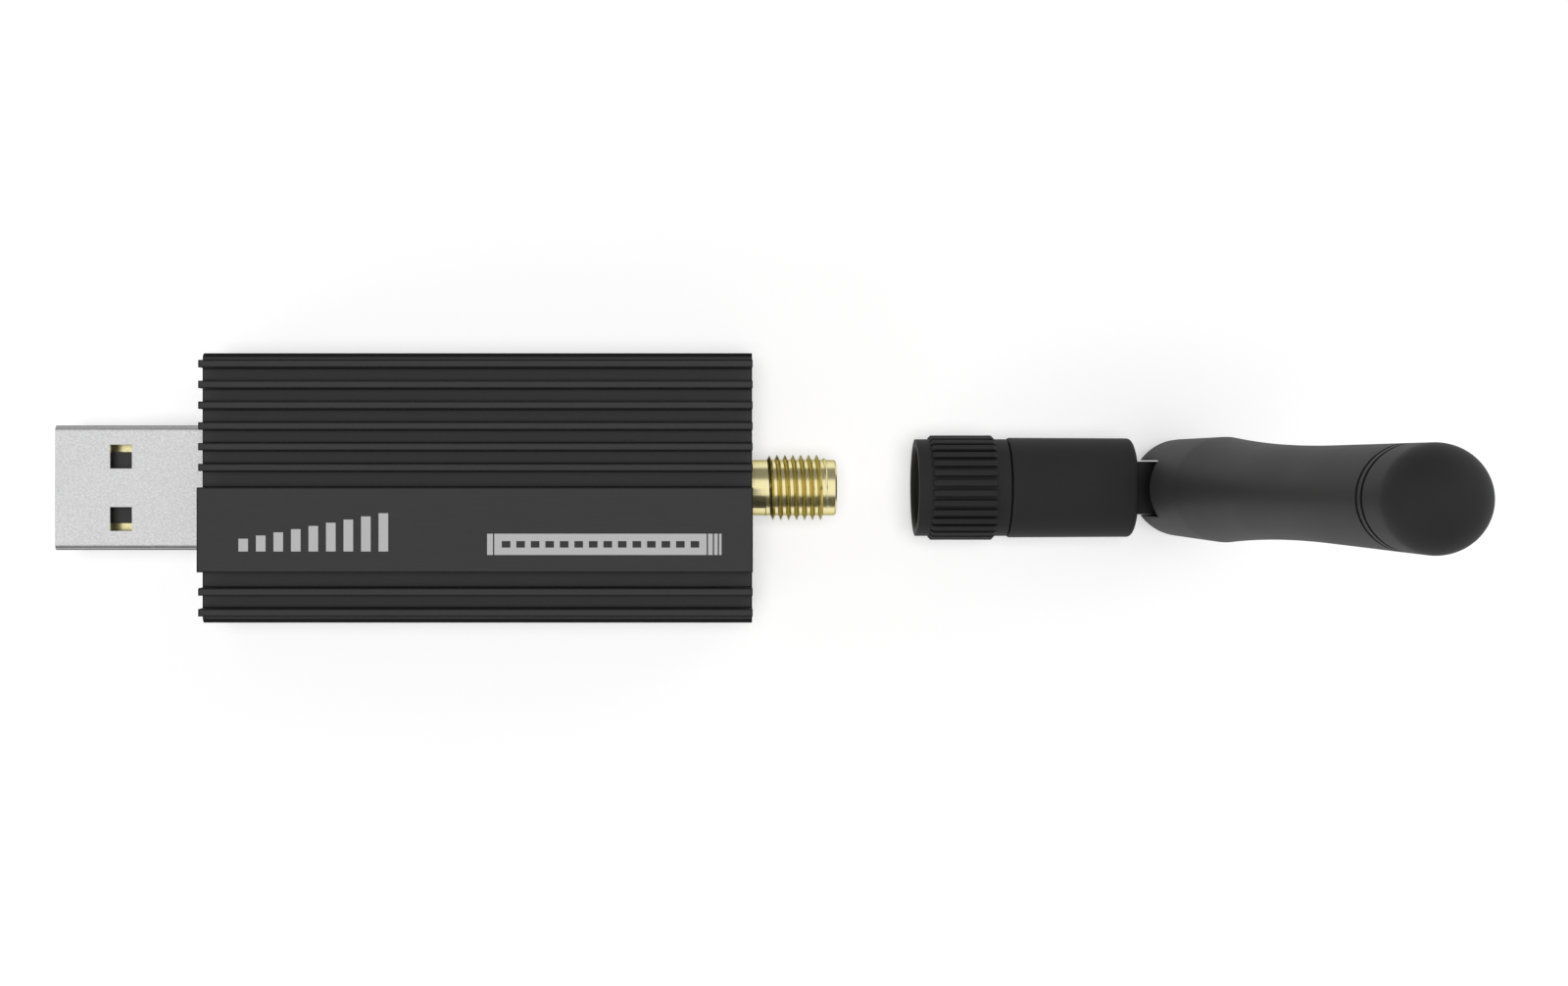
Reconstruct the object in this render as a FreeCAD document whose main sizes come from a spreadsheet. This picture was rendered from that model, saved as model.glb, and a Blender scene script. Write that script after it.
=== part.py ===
"""USB radio stick with a screw-on hinged aerial, in millimetres.

The origin is the centre of the flat band under the case. +X runs from the
plug to the aerial, +Y across the case and +Z up. The plug, the socket and the
aerial's barrel share one axis along X, at half the height of the case.
"""
import FreeCAD, Part
import math
import os
import Sketcher

doc = FreeCAD.newDocument("radio_stick")

SIZES = [
    # case
    ("case_length", 52.4, "extrusion, end to end"),
    ("case_width", 25.8, "extrusion, across"),
    ("case_height", 13.5, "over the two flat bands"),
    ("band_rise", 2.62, "flat bands above the valley floor"),
    ("fin_rise", 1.96, "fins above the valley floor"),
    ("fin_inset", 1.122, "outermost fin's middle from the side of the case"),
    ("fin_width", 0.7, "fin thickness"),
    ("top_band_width", 8.0, "printed band on the top"),
    ("top_band_step", 2, "fins between the middle of the case and the band's middle"),
    ("foot_band_width", 16.0, "flat band underneath"),
    ("upper_fins", 6, "fins beside the printed band, wide side"),
    ("edge_fins", 2, "fins at each other edge"),
    ("core_corner", 0.8, "rounding of the four long edges"),
    ("roof_wall", 0.9, "wall under the valleys"),
    ("side_wall", 0.8, "wall beside the board's grooves"),
    ("rail_depth", 3.2, "depth of the rails that hold the board"),
    ("board_play", 0.06, "board to groove, above and below"),
    ("plate_thickness", 1.2, "end plates"),
    ("plate_rim", 0.6, "case wall left round an end plate"),
    ("plate_play", 0.05, "end plate to its seat, all round"),
    ("plate_corner", 0.4, "rounding of the end plates"),
    ("screw_inset", 2.5, "screws from the side of the case"),
    ("screw_rise", 1.2, "screws above the axis"),
    ("screw_shank", 1.6, "thread diameter"),
    ("screw_head", 3.2, "head diameter"),
    ("screw_length", 6.0, "screws, over all"),
    ("recess_width", 0.4, "cross recess, slot width"),
    ("recess_span", 1.9, "cross recess, slot length"),
    ("recess_depth", 0.5, "cross recess"),
    # board
    ("board_thickness", 1.2, "circuit board"),
    ("board_drop", 0.4, "board's top below the axis"),
    ("board_gap", 0.2, "board to the plug's end plate"),
    ("board_side_play", 0.1, "board to the bottom of its grooves"),
    ("light_inset", 2.0, "status lights' middles from the cavity's sides"),
    # plug
    ("shell_width", 12.0, "plug shell"),
    ("shell_height", 4.5, "plug shell"),
    ("shell_wall", 0.3, "plug shell"),
    ("shell_corner", 0.6, "plug shell, outer corner"),
    ("plug_reach", 14.6, "shell in front of the case"),
    ("shell_tail", 3.7, "shell inside the case"),
    ("shell_seam", 0.08, "slit where the folded sheet meets"),
    ("window_front", 5.3, "window from the shell's front"),
    ("window_length", 2.1, "latch windows, along the plug"),
    ("window_width", 2.28, "latch windows, across"),
    ("window_side", 3.0, "window centre from the middle"),
    ("wing_width", 1.4, "solder wings of the shell"),
    ("wing_length", 1.6, "solder wings of the shell"),
    ("tongue_setback", 0.5, "tongue behind the shell's front"),
    ("tongue_height", 1.9, "plastic tongue"),
    ("tongue_length", 11.6, "plastic tongue, front to the block"),
    ("moulding_play", 0.03, "moulding inside the shell"),
    ("contact_width", 0.9, "contact strips"),
    ("contact_thickness", 0.2, "contact strips"),
    ("contact_proud", 0.06, "strips above the tongue"),
    ("inner_contact_side", 1.0, "inner strips from the middle"),
    ("outer_contact_side", 3.9, "outer strips from the middle"),
    ("contact_setback", 1.1, "strips behind the tongue's front"),
    ("contact_tail", 1.5, "solder tail on the board"),
    ("window_play", 0.15, "end plate to the shell, all round"),
    # socket for the aerial
    ("flange_size", 6.3, "square flange of the socket"),
    ("flange_thickness", 1.6, "square flange of the socket"),
    ("neck_diameter", 5.36, "plain neck and nose"),
    ("neck_reach", 1.36, "neck in front of the end plate"),
    ("thread_diameter", 6.35, "thread over its crests"),
    ("thread_pitch", 0.77, "crest to crest"),
    ("thread_turns", 7, "crests"),
    ("nose_length", 1.45, "plain nose beyond the thread"),
    ("nose_chamfer", 0.15, "chamfer of the nose"),
    ("socket_bore", 4.6, "bore in front of the reference face"),
    ("socket_depth", 1.92, "nose to the reference face"),
    ("line_diameter", 4.1, "white insulator"),
    ("contact_diameter", 1.27, "centre contact, outer"),
    ("contact_bore", 0.98, "centre contact, bore"),
    ("contact_bore_depth", 2.3, "centre contact, bore"),
    ("centre_tail", 3.0, "centre contact behind the flange"),
    ("centre_tail_diameter", 0.76, "centre contact behind the flange"),
    ("leg_width", 0.9, "socket's solder legs"),
    ("leg_height", 0.9, "socket's solder legs"),
    ("leg_length", 3.4, "socket's solder legs"),
    ("leg_side", 2.6, "leg centre from the middle"),
    ("neck_play", 0.2, "end plate to the neck"),
    # aerial, coupling
    ("rest_gap", 7.73, "nose of the socket to the coupling's rim, unscrewed"),
    ("sleeve_length", 8.78, "knurled sleeve"),
    ("sleeve_diameter", 9.4, "rim and collar"),
    ("mouth_diameter", 7.6, "open mouth of the sleeve"),
    ("mouth_depth", 1.5, "mouth in front of the nut"),
    ("mouth_chamfer", 0.25, "inner edge of the mouth"),
    ("knurl_diameter", 10.14, "over the ribs"),
    ("knurl_setback", 1.28, "knurl behind the rim"),
    ("knurl_length", 6.24, "ribs"),
    ("knurl_chamfer", 0.22, "ends of the ribs"),
    ("knurl_ribs", 32, "ribs round the sleeve"),
    ("knurl_groove", 0.42, "groove between two ribs"),
    ("nut_diameter", 8.2, "brass nut, outer"),
    ("nut_bore", 6.5, "brass nut, over the thread"),
    ("nut_flange", 1.2, "brass nut, rear flange"),
    ("nut_setback", 0.05, "nut inside the sleeve's rear face"),
    ("swivel_play", 0.06, "nut and sleeve to the aerial's body, radial"),
    ("clip_thickness", 0.4, "spring ring between nut and body"),
    ("clip_inner", 5.1, "spring ring, inner diameter"),
    ("clip_outer", 6.1, "spring ring, outer diameter"),
    ("clip_gap", 1.0, "opening of the spring ring"),
    ("clip_play", 0.05, "spring ring in its grooves"),
    ("clip_setback", 0.8, "spring ring in front of the nut's rear face"),
    # aerial, connector body
    ("ring_diameter", 4.5, "ring that enters the socket"),
    ("ring_length", 2.02, "ring that enters the socket"),
    ("ring_setback", 5.5, "ring behind the sleeve's rim"),
    ("body_diameter", 5.6, "connector body"),
    ("body_in_barrel", 6.0, "connector body inside the barrel"),
    ("insulator_diameter", 3.96, "white insulator of the aerial"),
    ("insulator_length", 6.4, "white insulator of the aerial"),
    ("pin_diameter", 0.92, "centre pin"),
    ("pin_reach", 1.75, "centre pin in front of the ring"),
    ("pin_tail", 1.2, "centre pin behind the insulator"),
    # aerial, barrel and hinge
    ("barrel_gap", 0.13, "sleeve to barrel"),
    ("barrel_length", 12.0, "barrel"),
    ("barrel_diameter", 9.68, "barrel at the sleeve"),
    ("barrel_end_diameter", 9.57, "barrel at the hinge"),
    ("barrel_round", 0.45, "rounding of the barrel's edges"),
    ("hinge_reach", 4.94, "hinge axis beyond the barrel"),
    ("tongue_width", 5.05, "hinge tongue"),
    ("knuckle_radius", 3.3, "hinge tongue's round end"),
    ("slot_play", 0.14, "tongue to each ear"),
    ("knuckle_play", 0.2, "tongue's round end to the fork"),
    ("pivot_diameter", 2.0, "hinge pins"),
    ("pivot_play", 0.04, "hinge pins in the tongue, radial"),
    ("pivot_inner", 1.3, "hinge pins' inner ends from the middle"),
    ("pivot_sink", 0.3, "hinge pins below the ears' surface"),
    ("lead_diameter", 1.13, "thin coaxial lead"),
    ("lead_channel", 1.5, "channel for the lead"),
    ("lead_margin", 1.2, "lead ends this far from the hinge axis"),
    # aerial, mast
    ("mast_radius", 4.7, "mast at the hinge and up to the kink"),
    ("kink_height", 18.5, "kink above the hinge axis"),
    ("slim_height", 52.5, "straight part starts above the hinge axis"),
    ("slim_radius", 3.64, "straight part and tip"),
    ("seam_height", 70.26, "cap's seam above the hinge axis"),
    ("tip_centre", 75.08, "centre of the round tip above the hinge axis"),
    ("second_ring_height", 71.42, "second ring above the hinge axis"),
    ("ring_width", 0.46, "ring grooves at the seam and above it"),
    ("ring_depth", 0.3, "ring grooves at the seam and above it"),
    ("slot_ceiling", 8.2, "top of the fork's slot above the hinge axis"),
    ("slot_back", 1.2, "back of the fork's slot above the knuckle"),
    ("mast_bore", 5.2, "inside the mast"),
    ("mast_floor", 12.5, "bottom of the bore above the hinge axis"),
    ("spigot_length", 4.0, "cap inside the mast"),
    ("spigot_wall", 0.8, "cap's spigot and dome"),
    ("spigot_play", 0.02, "cap in the mast, radial"),
    ("sleeve_tube_diameter", 4.4, "brass tube of the radiator"),
    ("sleeve_tube_wall", 0.3, "brass tube of the radiator"),
    ("sleeve_tube_length", 26.0, "brass tube of the radiator"),
    ("sleeve_tube_lift", 1.5, "tube above the bore's floor"),
    ("whip_diameter", 0.9, "bare wire above the tube"),
    ("whip_length", 29.0, "bare wire above the tube"),
    ("whip_socket", 2.0, "wire's end inside the cap's boss"),
    ("boss_wall", 0.8, "cap's boss round the wire"),
    # print
    ("ink_thickness", 0.03, "printed layer"),
    ("field_length", 20.0, "long printed field"),
    ("field_height", 2.0, "long printed field"),
    ("field_end", 4.35, "long field's right end from the case's end"),
    ("field_side", -5.28, "printed field's middle, across"),
    ("field_dashes", 14, "open dashes in the long field"),
    ("field_dash_height", 0.62, "open dashes"),
    ("field_dash_space", 0.55, "field between two dashes"),
    ("field_margin", 0.7, "field before the first dash"),
    ("end_bar_width", 0.55, "widest of the bars beside the field"),
    ("end_bar_step", 0.107, "each bar narrower than the last"),
    ("end_bar_space", 0.13, "space between the bars"),
    ("mark_start", 3.95, "bar chart's left end from the case's end"),
    ("mark_bars", 9, "bars in the chart"),
    ("mark_bar_width", 0.9, "bars in the chart"),
    ("mark_bar_space", 0.75, "between the chart's bars"),
    ("mark_height", 3.6, "tallest bar of the chart"),
    ("mark_low", 1.2, "lowest bar of the chart"),
    ("mark_base", -5.95, "foot of the chart, across"),
]

sheet = doc.addObject("Spreadsheet::Sheet", "sizes")
for row, (alias, value, note) in enumerate(SIZES, start=1):
    sheet.set(f"A{row}", alias)
    sheet.set(f"B{row}", str(value))
    sheet.set(f"C{row}", note)
    sheet.setAlias(f"B{row}", alias)
doc.recompute()

FIRST_POINT, SECOND_POINT, CENTRE_POINT = range(1, 4)
parts = []


def number(expression):
    """Value of an expression on the sheet's sizes."""
    value = sheet.evalExpression(expression)
    return float(getattr(value, "Value", value))


def whole(expression):
    """Whole number for loops, from the same sheet."""
    return int(round(number(expression)))


def size(alias):
    return f"sizes.{alias}"


def total(*terms):
    return " + ".join(f"({term})" for term in terms)


def minus(first, *others):
    return f"({first})" + "".join(f" - ({term})" for term in others)


def times(first, second):
    return f"({first}) * ({second})"


def half(term):
    return f"({term}) / 2"


def negative(term):
    return f"-({term})"


# Places along X

CASE_END = half(size("case_length"))
CASE_FRONT = negative(CASE_END)
PLUG_FRONT = minus(CASE_FRONT, size("plug_reach"))
SHELL_END = total(CASE_FRONT, size("shell_tail"))
PLATE_BACK = minus(CASE_END, size("plate_thickness"))
FLANGE_BACK = minus(PLATE_BACK, size("flange_thickness"))
BOARD_FRONT = total(CASE_FRONT, size("plate_thickness"), size("board_gap"))
NECK_END = total(CASE_END, size("neck_reach"))
THREAD_END = total(NECK_END, times(size("thread_pitch"), size("thread_turns")))
NOSE_END = total(THREAD_END, size("nose_length"))
SOCKET_FACE = minus(NOSE_END, size("socket_depth"))
RIM = total(NOSE_END, size("rest_gap"))
SLEEVE_END = total(RIM, size("sleeve_length"))
NUT_START = total(RIM, size("mouth_depth"))
NUT_END = minus(SLEEVE_END, size("nut_setback"))
CLIP_END = minus(NUT_END, half(size("clip_setback")))
CLIP_START = minus(CLIP_END, size("clip_thickness"))
RING_FACE = total(RIM, size("ring_setback"))
RING_END = total(RING_FACE, size("ring_length"))
NUT_FLANGE_START = minus(NUT_END, size("nut_flange"))
BARREL_START = total(SLEEVE_END, size("barrel_gap"))
BARREL_END = total(BARREL_START, size("barrel_length"))
BODY_END = total(BARREL_START, size("body_in_barrel"))
INSULATOR_END = total(RING_FACE, size("insulator_length"))
PIN_END = total(INSULATOR_END, size("pin_tail"))
HINGE = total(BARREL_END, size("hinge_reach"))

# Places across and up, from the axis

AXIS_HEIGHT = half(size("case_height"))
CORE_HALF = minus(AXIS_HEIGHT, size("band_rise"))
CASE_SIDE = half(size("case_width"))
OUTER_FIN = minus(CASE_SIDE, size("fin_inset"))
FIN_PITCH = f"({OUTER_FIN}) / {size('upper_fins')}"
SCREW_SIDE = minus(CASE_SIDE, size("screw_inset"))
BOARD_TOP = negative(size("board_drop"))
BOARD_BOTTOM = minus(BOARD_TOP, size("board_thickness"))
GROOVE_SIDE = minus(CASE_SIDE, size("side_wall"))
CAVITY_SIDE = minus(GROOVE_SIDE, size("rail_depth"))
CAVITY_HALF = minus(CORE_HALF, size("roof_wall"))
BOARD_SIDE = minus(GROOVE_SIDE, size("board_side_play"))
LIGHT_SIDE = minus(CAVITY_SIDE, size("light_inset"))
TONGUE_TOP = total(
    negative(half(size("shell_height"))), size("shell_wall"), size("moulding_play"), size("tongue_height")
)

# Heights above the floor

SCREW_HEIGHT = total(AXIS_HEIGHT, size("screw_rise"))
BOARD_FACE = total(AXIS_HEIGHT, BOARD_TOP)

# Heights in the mast, above the hinge's axis

TUBE_START = total(size("mast_floor"), size("sleeve_tube_lift"))
TUBE_END = total(TUBE_START, size("sleeve_tube_length"))
WHIP_END = total(TUBE_END, size("whip_length"))


def place(feature, x="0", y="0", z="0"):
    """Bind a feature's position to expressions."""
    for letter, expression in (("x", x), ("y", y), ("z", z)):
        feature.setExpression(f"Placement.Base.{letter}", expression)
    return feature


def keep(feature, name):
    """Give a finished sub-part its label and list it for writing."""
    feature.Label = name
    parts.append(feature)
    return feature


# Sketches and bodies

def new_body(name, x="0", z=AXIS_HEIGHT):
    body = doc.addObject("PartDesign::Body", name)
    place(body, x, "0", z)
    return keep(body, name)


def origin_feature(body, role):
    return next(feature for feature in body.Origin.OriginFeatures if feature.Role == role)


def new_sketch(body, name, role, offset="0"):
    sketch = body.newObject("Sketcher::SketchObject", name)
    sketch.AttachmentSupport = [(origin_feature(body, role), "")]
    sketch.MapMode = "FlatFace"
    sketch.setExpression("AttachmentOffset.Base.z", offset)
    return sketch


def bind_point(sketch, geometry, point, across=None, up=None):
    """Hold a point at bound distances from the sketch's origin."""
    for kind, expression in (("DistanceX", across), ("DistanceY", up)):
        if expression is None:
            continue
        index = sketch.addConstraint(
            Sketcher.Constraint(kind, -1, FIRST_POINT, geometry, point, number(expression))
        )
        sketch.setExpression(f"Constraints[{index}]", expression)


def arc_between(start, end, axis, value):
    """Short arc from start to end, with one coordinate of its centre known.

    It is drawn anticlockwise; the second result tells whether that is from start to end.
    """
    if axis == "x":
        run = (end.x - start.x) * (end.x + start.x - 2 * value)
        centre = FreeCAD.Vector(value, (end.y ** 2 - start.y ** 2 + run) / (2 * (end.y - start.y)), 0)
    else:
        run = (end.y - start.y) * (end.y + start.y - 2 * value)
        centre = FreeCAD.Vector((end.x ** 2 - start.x ** 2 + run) / (2 * (end.x - start.x)), value, 0)
    forward = (start - centre).cross(end - centre).z > 0
    first, last = (start, end) if forward else (end, start)
    first_angle = math.atan2(first.y - centre.y, first.x - centre.x)
    last_angle = math.atan2(last.y - centre.y, last.x - centre.x)
    if last_angle < first_angle:
        last_angle += 2 * math.pi
    ring = Part.Circle(centre, FreeCAD.Vector(0, 0, 1), (start - centre).Length)
    return Part.ArcOfCircle(ring, first_angle, last_angle), forward


def outline(sketch, corners):
    """Closed outline. A corner is two expressions, and two more for an arc that ends there:
    the axis and the expression of its centre's known coordinate."""
    points = [FreeCAD.Vector(number(corner[0]), number(corner[1]), 0) for corner in corners]
    ends = []
    for index, corner in enumerate(corners):
        start = points[index - 1]
        end = points[index]
        if len(corner) == 2:
            geometry = sketch.addGeometry(Part.LineSegment(start, end), False)
            ends.append((geometry, FIRST_POINT, SECOND_POINT))
            continue
        axis, centre = corner[2:]
        arc, forward = arc_between(start, end, axis, number(centre))
        geometry = sketch.addGeometry(arc, False)
        if forward:
            ends.append((geometry, FIRST_POINT, SECOND_POINT))
        else:
            ends.append((geometry, SECOND_POINT, FIRST_POINT))
        if axis == "x":
            bind_point(sketch, geometry, CENTRE_POINT, across=centre)
        else:
            bind_point(sketch, geometry, CENTRE_POINT, up=centre)
    for index, (geometry, _, last) in enumerate(ends):
        following, first, _ = ends[(index + 1) % len(ends)]
        sketch.addConstraint(Sketcher.Constraint("Coincident", geometry, last, following, first))
        bind_point(sketch, geometry, last, corners[index][0], corners[index][1])


def circle(sketch, across, up, diameter):
    middle = FreeCAD.Vector(number(across), number(up), 0)
    shape = Part.Circle(middle, FreeCAD.Vector(0, 0, 1), number(diameter) / 2)
    geometry = sketch.addGeometry(shape, False)
    bind_point(sketch, geometry, CENTRE_POINT, across, up)
    index = sketch.addConstraint(Sketcher.Constraint("Diameter", geometry, number(diameter)))
    sketch.setExpression(f"Constraints[{index}]", diameter)


def rectangle(sketch, left, right, low, high):
    outline(sketch, [(left, low), (right, low), (right, high), (left, high)])


def pad(body, name, sketch, length, symmetric=False, reverse=False):
    feature = body.newObject("PartDesign::Pad", name)
    feature.Profile = sketch
    feature.SideType = "Symmetric" if symmetric else "One side"
    feature.Reversed = reverse
    feature.setExpression("Length", length)
    doc.recompute()
    return feature


def pocket(body, name, sketch, length=None, symmetric=False, reverse=False):
    """Cut through all, or to a length, and make sure that it cuts."""
    before = body.Shape.Volume
    feature = body.newObject("PartDesign::Pocket", name)
    feature.Profile = sketch
    feature.SideType = "Symmetric" if symmetric else "One side"
    feature.Reversed = reverse
    if length is None:
        feature.Type = "ThroughAll"
    else:
        feature.setExpression("Length", length)
    doc.recompute()
    check_cut(body, name, before)
    return feature


def check_cut(body, name, before):
    if not body.Shape.Volume < before:
        raise RuntimeError(f"{name} cuts nothing")


def revolve(body, name, sketch, axis="H_Axis"):
    feature = body.newObject("PartDesign::Revolution", name)
    feature.Profile = sketch
    feature.ReferenceAxis = (sketch, [axis])
    feature.Angle = 360
    doc.recompute()
    return feature


def turned(name, corners, axis="H_Axis", x="0"):
    """A body turned about the stick's axis, or about the mast's own."""
    body = new_body(name, x)
    sketch = new_sketch(body, f"{name}_profile", "XZ_Plane")
    outline(sketch, corners)
    revolve(body, f"{name}_turned", sketch, axis)
    return body


def round_edges(body, name, edges, radius):
    base = body.Tip
    feature = body.newObject("PartDesign::Fillet", name)
    feature.Base = (base, edges)
    feature.setExpression("Radius", radius)
    doc.recompute()
    return feature


def long_edges(body, side, rise):
    """Names of the straight edges along X at a distance from the axis."""
    names = []
    for index, edge in enumerate(body.Tip.Shape.Edges, start=1):
        middle = edge.CenterOfMass
        along = abs(edge.tangentAt(edge.FirstParameter).x) > 0.999
        if along and abs(abs(middle.y) - side) < 1e-4 and abs(abs(middle.z) - rise) < 1e-4:
            names.append(f"Edge{index}")
    return names


# Plain solids

def box(name, x, y, z, length, width, height):
    """Block with its lowest corner at x, y, z."""
    feature = doc.addObject("Part::Box", name)
    feature.setExpression("Length", length)
    feature.setExpression("Width", width)
    feature.setExpression("Height", height)
    return place(feature, x, y, z)


def centred_box(name, x, y, z, length, width, height):
    """Block centred on y, from x and z upwards."""
    return box(name, x, minus(y, half(width)), z, length, width, height)


def rod(name, x, y, z, diameter, length):
    """Cylinder along X from x."""
    feature = doc.addObject("Part::Cylinder", name)
    feature.setExpression("Radius", half(diameter))
    feature.setExpression("Height", length)
    feature.Placement.Rotation = FreeCAD.Rotation(FreeCAD.Vector(0, 1, 0), 90)
    return place(feature, x, y, z)


def cone(name, x, y, z, start_diameter, end_diameter, length):
    """Cone along X from x."""
    feature = doc.addObject("Part::Cone", name)
    feature.setExpression("Radius1", half(start_diameter))
    feature.setExpression("Radius2", half(end_diameter))
    feature.setExpression("Height", length)
    feature.Placement.Rotation = FreeCAD.Rotation(FreeCAD.Vector(0, 1, 0), 90)
    return place(feature, x, y, z)


def fuse(name, pieces):
    feature = doc.addObject("Part::MultiFuse", name)
    feature.Shapes = pieces
    return feature


def cut(name, base, tool):
    feature = doc.addObject("Part::Cut", name)
    feature.Base = base
    feature.Tool = tool
    return feature


def group(name, pieces):
    """Like pieces in one node, each a solid of its own."""
    feature = doc.addObject("Part::Compound", name)
    feature.Links = pieces
    return keep(feature, name)


# Case

def fin_row(body, name, first_middle, rise_side, count, direction):
    """A row of equal fins, from the one nearest the middle outwards."""
    top = total(CORE_HALF, size("fin_rise"))
    near = total(first_middle, negative(half(size("fin_width"))))
    far = total(first_middle, half(size("fin_width")))
    sketch = new_sketch(body, f"{name}_profile", "YZ_Plane")
    root = minus(CORE_HALF, half(size("roof_wall")))
    if rise_side > 0:
        rectangle(sketch, near, far, root, top)
    else:
        rectangle(sketch, near, far, negative(top), negative(root))
    fin = pad(body, f"{name}_fin", sketch, size("case_length"), symmetric=True)
    row = body.newObject("PartDesign::LinearPattern", f"{name}_row")
    row.Originals = [fin]
    row.Direction = (sketch, ["H_Axis"])
    row.Reversed = direction < 0
    row.Mode = "Spacing"
    row.setExpression("Offset", FIN_PITCH)
    row.setExpression("Occurrences", count)
    body.Tip = row
    doc.recompute()


def make_case():
    body = new_body("case")
    core = new_sketch(body, "core_profile", "YZ_Plane")
    rectangle(core, negative(CASE_SIDE), CASE_SIDE, negative(CORE_HALF), CORE_HALF)
    pad(body, "core", core, size("case_length"), symmetric=True)
    corners = long_edges(body, number(CASE_SIDE), number(CORE_HALF))
    round_edges(body, "core_rounding", corners, size("core_corner"))

    root = minus(CORE_HALF, half(size("roof_wall")))
    band_middle = negative(times(size("top_band_step"), FIN_PITCH))
    top_band = new_sketch(body, "top_band_profile", "YZ_Plane")
    rectangle(
        top_band,
        minus(band_middle, half(size("top_band_width"))),
        total(band_middle, half(size("top_band_width"))),
        root,
        AXIS_HEIGHT,
    )
    pad(body, "top_band", top_band, size("case_length"), symmetric=True)
    foot_half = half(size("foot_band_width"))
    foot_band = new_sketch(body, "foot_band_profile", "YZ_Plane")
    rectangle(foot_band, negative(foot_half), foot_half, negative(AXIS_HEIGHT), negative(root))
    pad(body, "foot_band", foot_band, size("case_length"), symmetric=True)

    edge_start = minus(OUTER_FIN, times(minus(size("edge_fins"), "1"), FIN_PITCH))
    fin_row(body, "upper", FIN_PITCH, 1, size("upper_fins"), 1)
    fin_row(body, "lower_edge", negative(edge_start), 1, size("edge_fins"), -1)
    fin_row(body, "under_left", edge_start, -1, size("edge_fins"), 1)
    fin_row(body, "under_right", negative(edge_start), -1, size("edge_fins"), -1)

    groove_top = total(BOARD_TOP, size("board_play"))
    groove_low = minus(BOARD_BOTTOM, size("board_play"))
    cavity = new_sketch(body, "cavity_profile", "YZ_Plane")
    outline(cavity, [
        (negative(CAVITY_SIDE), CAVITY_HALF),
        (negative(CAVITY_SIDE), groove_top),
        (negative(GROOVE_SIDE), groove_top),
        (negative(GROOVE_SIDE), groove_low),
        (negative(CAVITY_SIDE), groove_low),
        (negative(CAVITY_SIDE), negative(CAVITY_HALF)),
        (CAVITY_SIDE, negative(CAVITY_HALF)),
        (CAVITY_SIDE, groove_low),
        (GROOVE_SIDE, groove_low),
        (GROOVE_SIDE, groove_top),
        (CAVITY_SIDE, groove_top),
        (CAVITY_SIDE, CAVITY_HALF),
    ])
    pocket(body, "cavity", cavity, times(size("case_length"), "2"), symmetric=True)

    threads = new_sketch(body, "screw_channels_profile", "YZ_Plane")
    for side in (SCREW_SIDE, negative(SCREW_SIDE)):
        circle(threads, side, size("screw_rise"), size("screw_shank"))
    pocket(body, "screw_channels", threads, times(size("case_length"), "2"), symmetric=True)

    seat_side = minus(CASE_SIDE, size("plate_rim"))
    seat_rise = minus(CORE_HALF, size("plate_rim"))
    for name, offset, reverse in (("plug", CASE_FRONT, True), ("socket", CASE_END, False)):
        seat = new_sketch(body, f"{name}_seat_profile", "YZ_Plane", offset)
        rectangle(seat, negative(seat_side), seat_side, negative(seat_rise), seat_rise)
        pocket(body, f"{name}_seat", seat, size("plate_thickness"), reverse=reverse)


# End plates

def make_plate(name, offset, holes):
    """An inset end plate with countersunk screw holes."""
    body = new_body(name)
    side = minus(CASE_SIDE, size("plate_rim"), size("plate_play"))
    rise = minus(CORE_HALF, size("plate_rim"), size("plate_play"))
    face = new_sketch(body, f"{name}_profile", "YZ_Plane", offset)
    rectangle(face, negative(side), side, negative(rise), rise)
    pad(body, f"{name}_sheet", face, size("plate_thickness"))
    corners = long_edges(body, number(side), number(rise))
    round_edges(body, f"{name}_rounding", corners, size("plate_corner"))
    opening = new_sketch(body, f"{name}_opening_profile", "YZ_Plane", offset)
    holes(opening)
    pocket(body, f"{name}_opening", opening, times(size("plate_thickness"), "4"), symmetric=True)
    return body


def countersink(body, name, outer_face, sign):
    """Cone seats for the screw heads, turned about each screw's own axis."""
    sink = half(minus(size("screw_head"), size("screw_shank")))
    for index, side in enumerate((SCREW_SIDE, negative(SCREW_SIDE))):
        before = body.Shape.Volume
        seat = body.newObject("PartDesign::SubtractiveCone", f"{name}_{index}")
        seat.setExpression("Radius1", half(size("screw_head")))
        seat.setExpression("Radius2", half(size("screw_shank")))
        seat.setExpression("Height", sink)
        seat.Placement.Rotation = FreeCAD.Rotation(FreeCAD.Vector(0, 1, 0), -90 * sign)
        place(seat, outer_face, side, size("screw_rise"))
        doc.recompute()
        check_cut(body, name, before)


def make_end_plates():
    def plug_window(sketch):
        side = total(half(size("shell_width")), size("window_play"))
        rise = total(half(size("shell_height")), size("window_play"))
        rectangle(sketch, negative(side), side, negative(rise), rise)

    def neck_hole(sketch):
        circle(sketch, "0", "0", total(size("neck_diameter"), size("neck_play"), size("neck_play")))

    def with_screw_holes(shape):
        def holes(sketch):
            shape(sketch)
            for side in (SCREW_SIDE, negative(SCREW_SIDE)):
                circle(sketch, side, size("screw_rise"), size("screw_shank"))
        return holes

    plug_plate = make_plate("plug_end_plate", CASE_FRONT, with_screw_holes(plug_window))
    countersink(plug_plate, "plug_countersink", CASE_FRONT, -1)
    socket_plate = make_plate("socket_end_plate", PLATE_BACK, with_screw_holes(neck_hole))
    countersink(socket_plate, "socket_countersink", CASE_END, 1)


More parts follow.
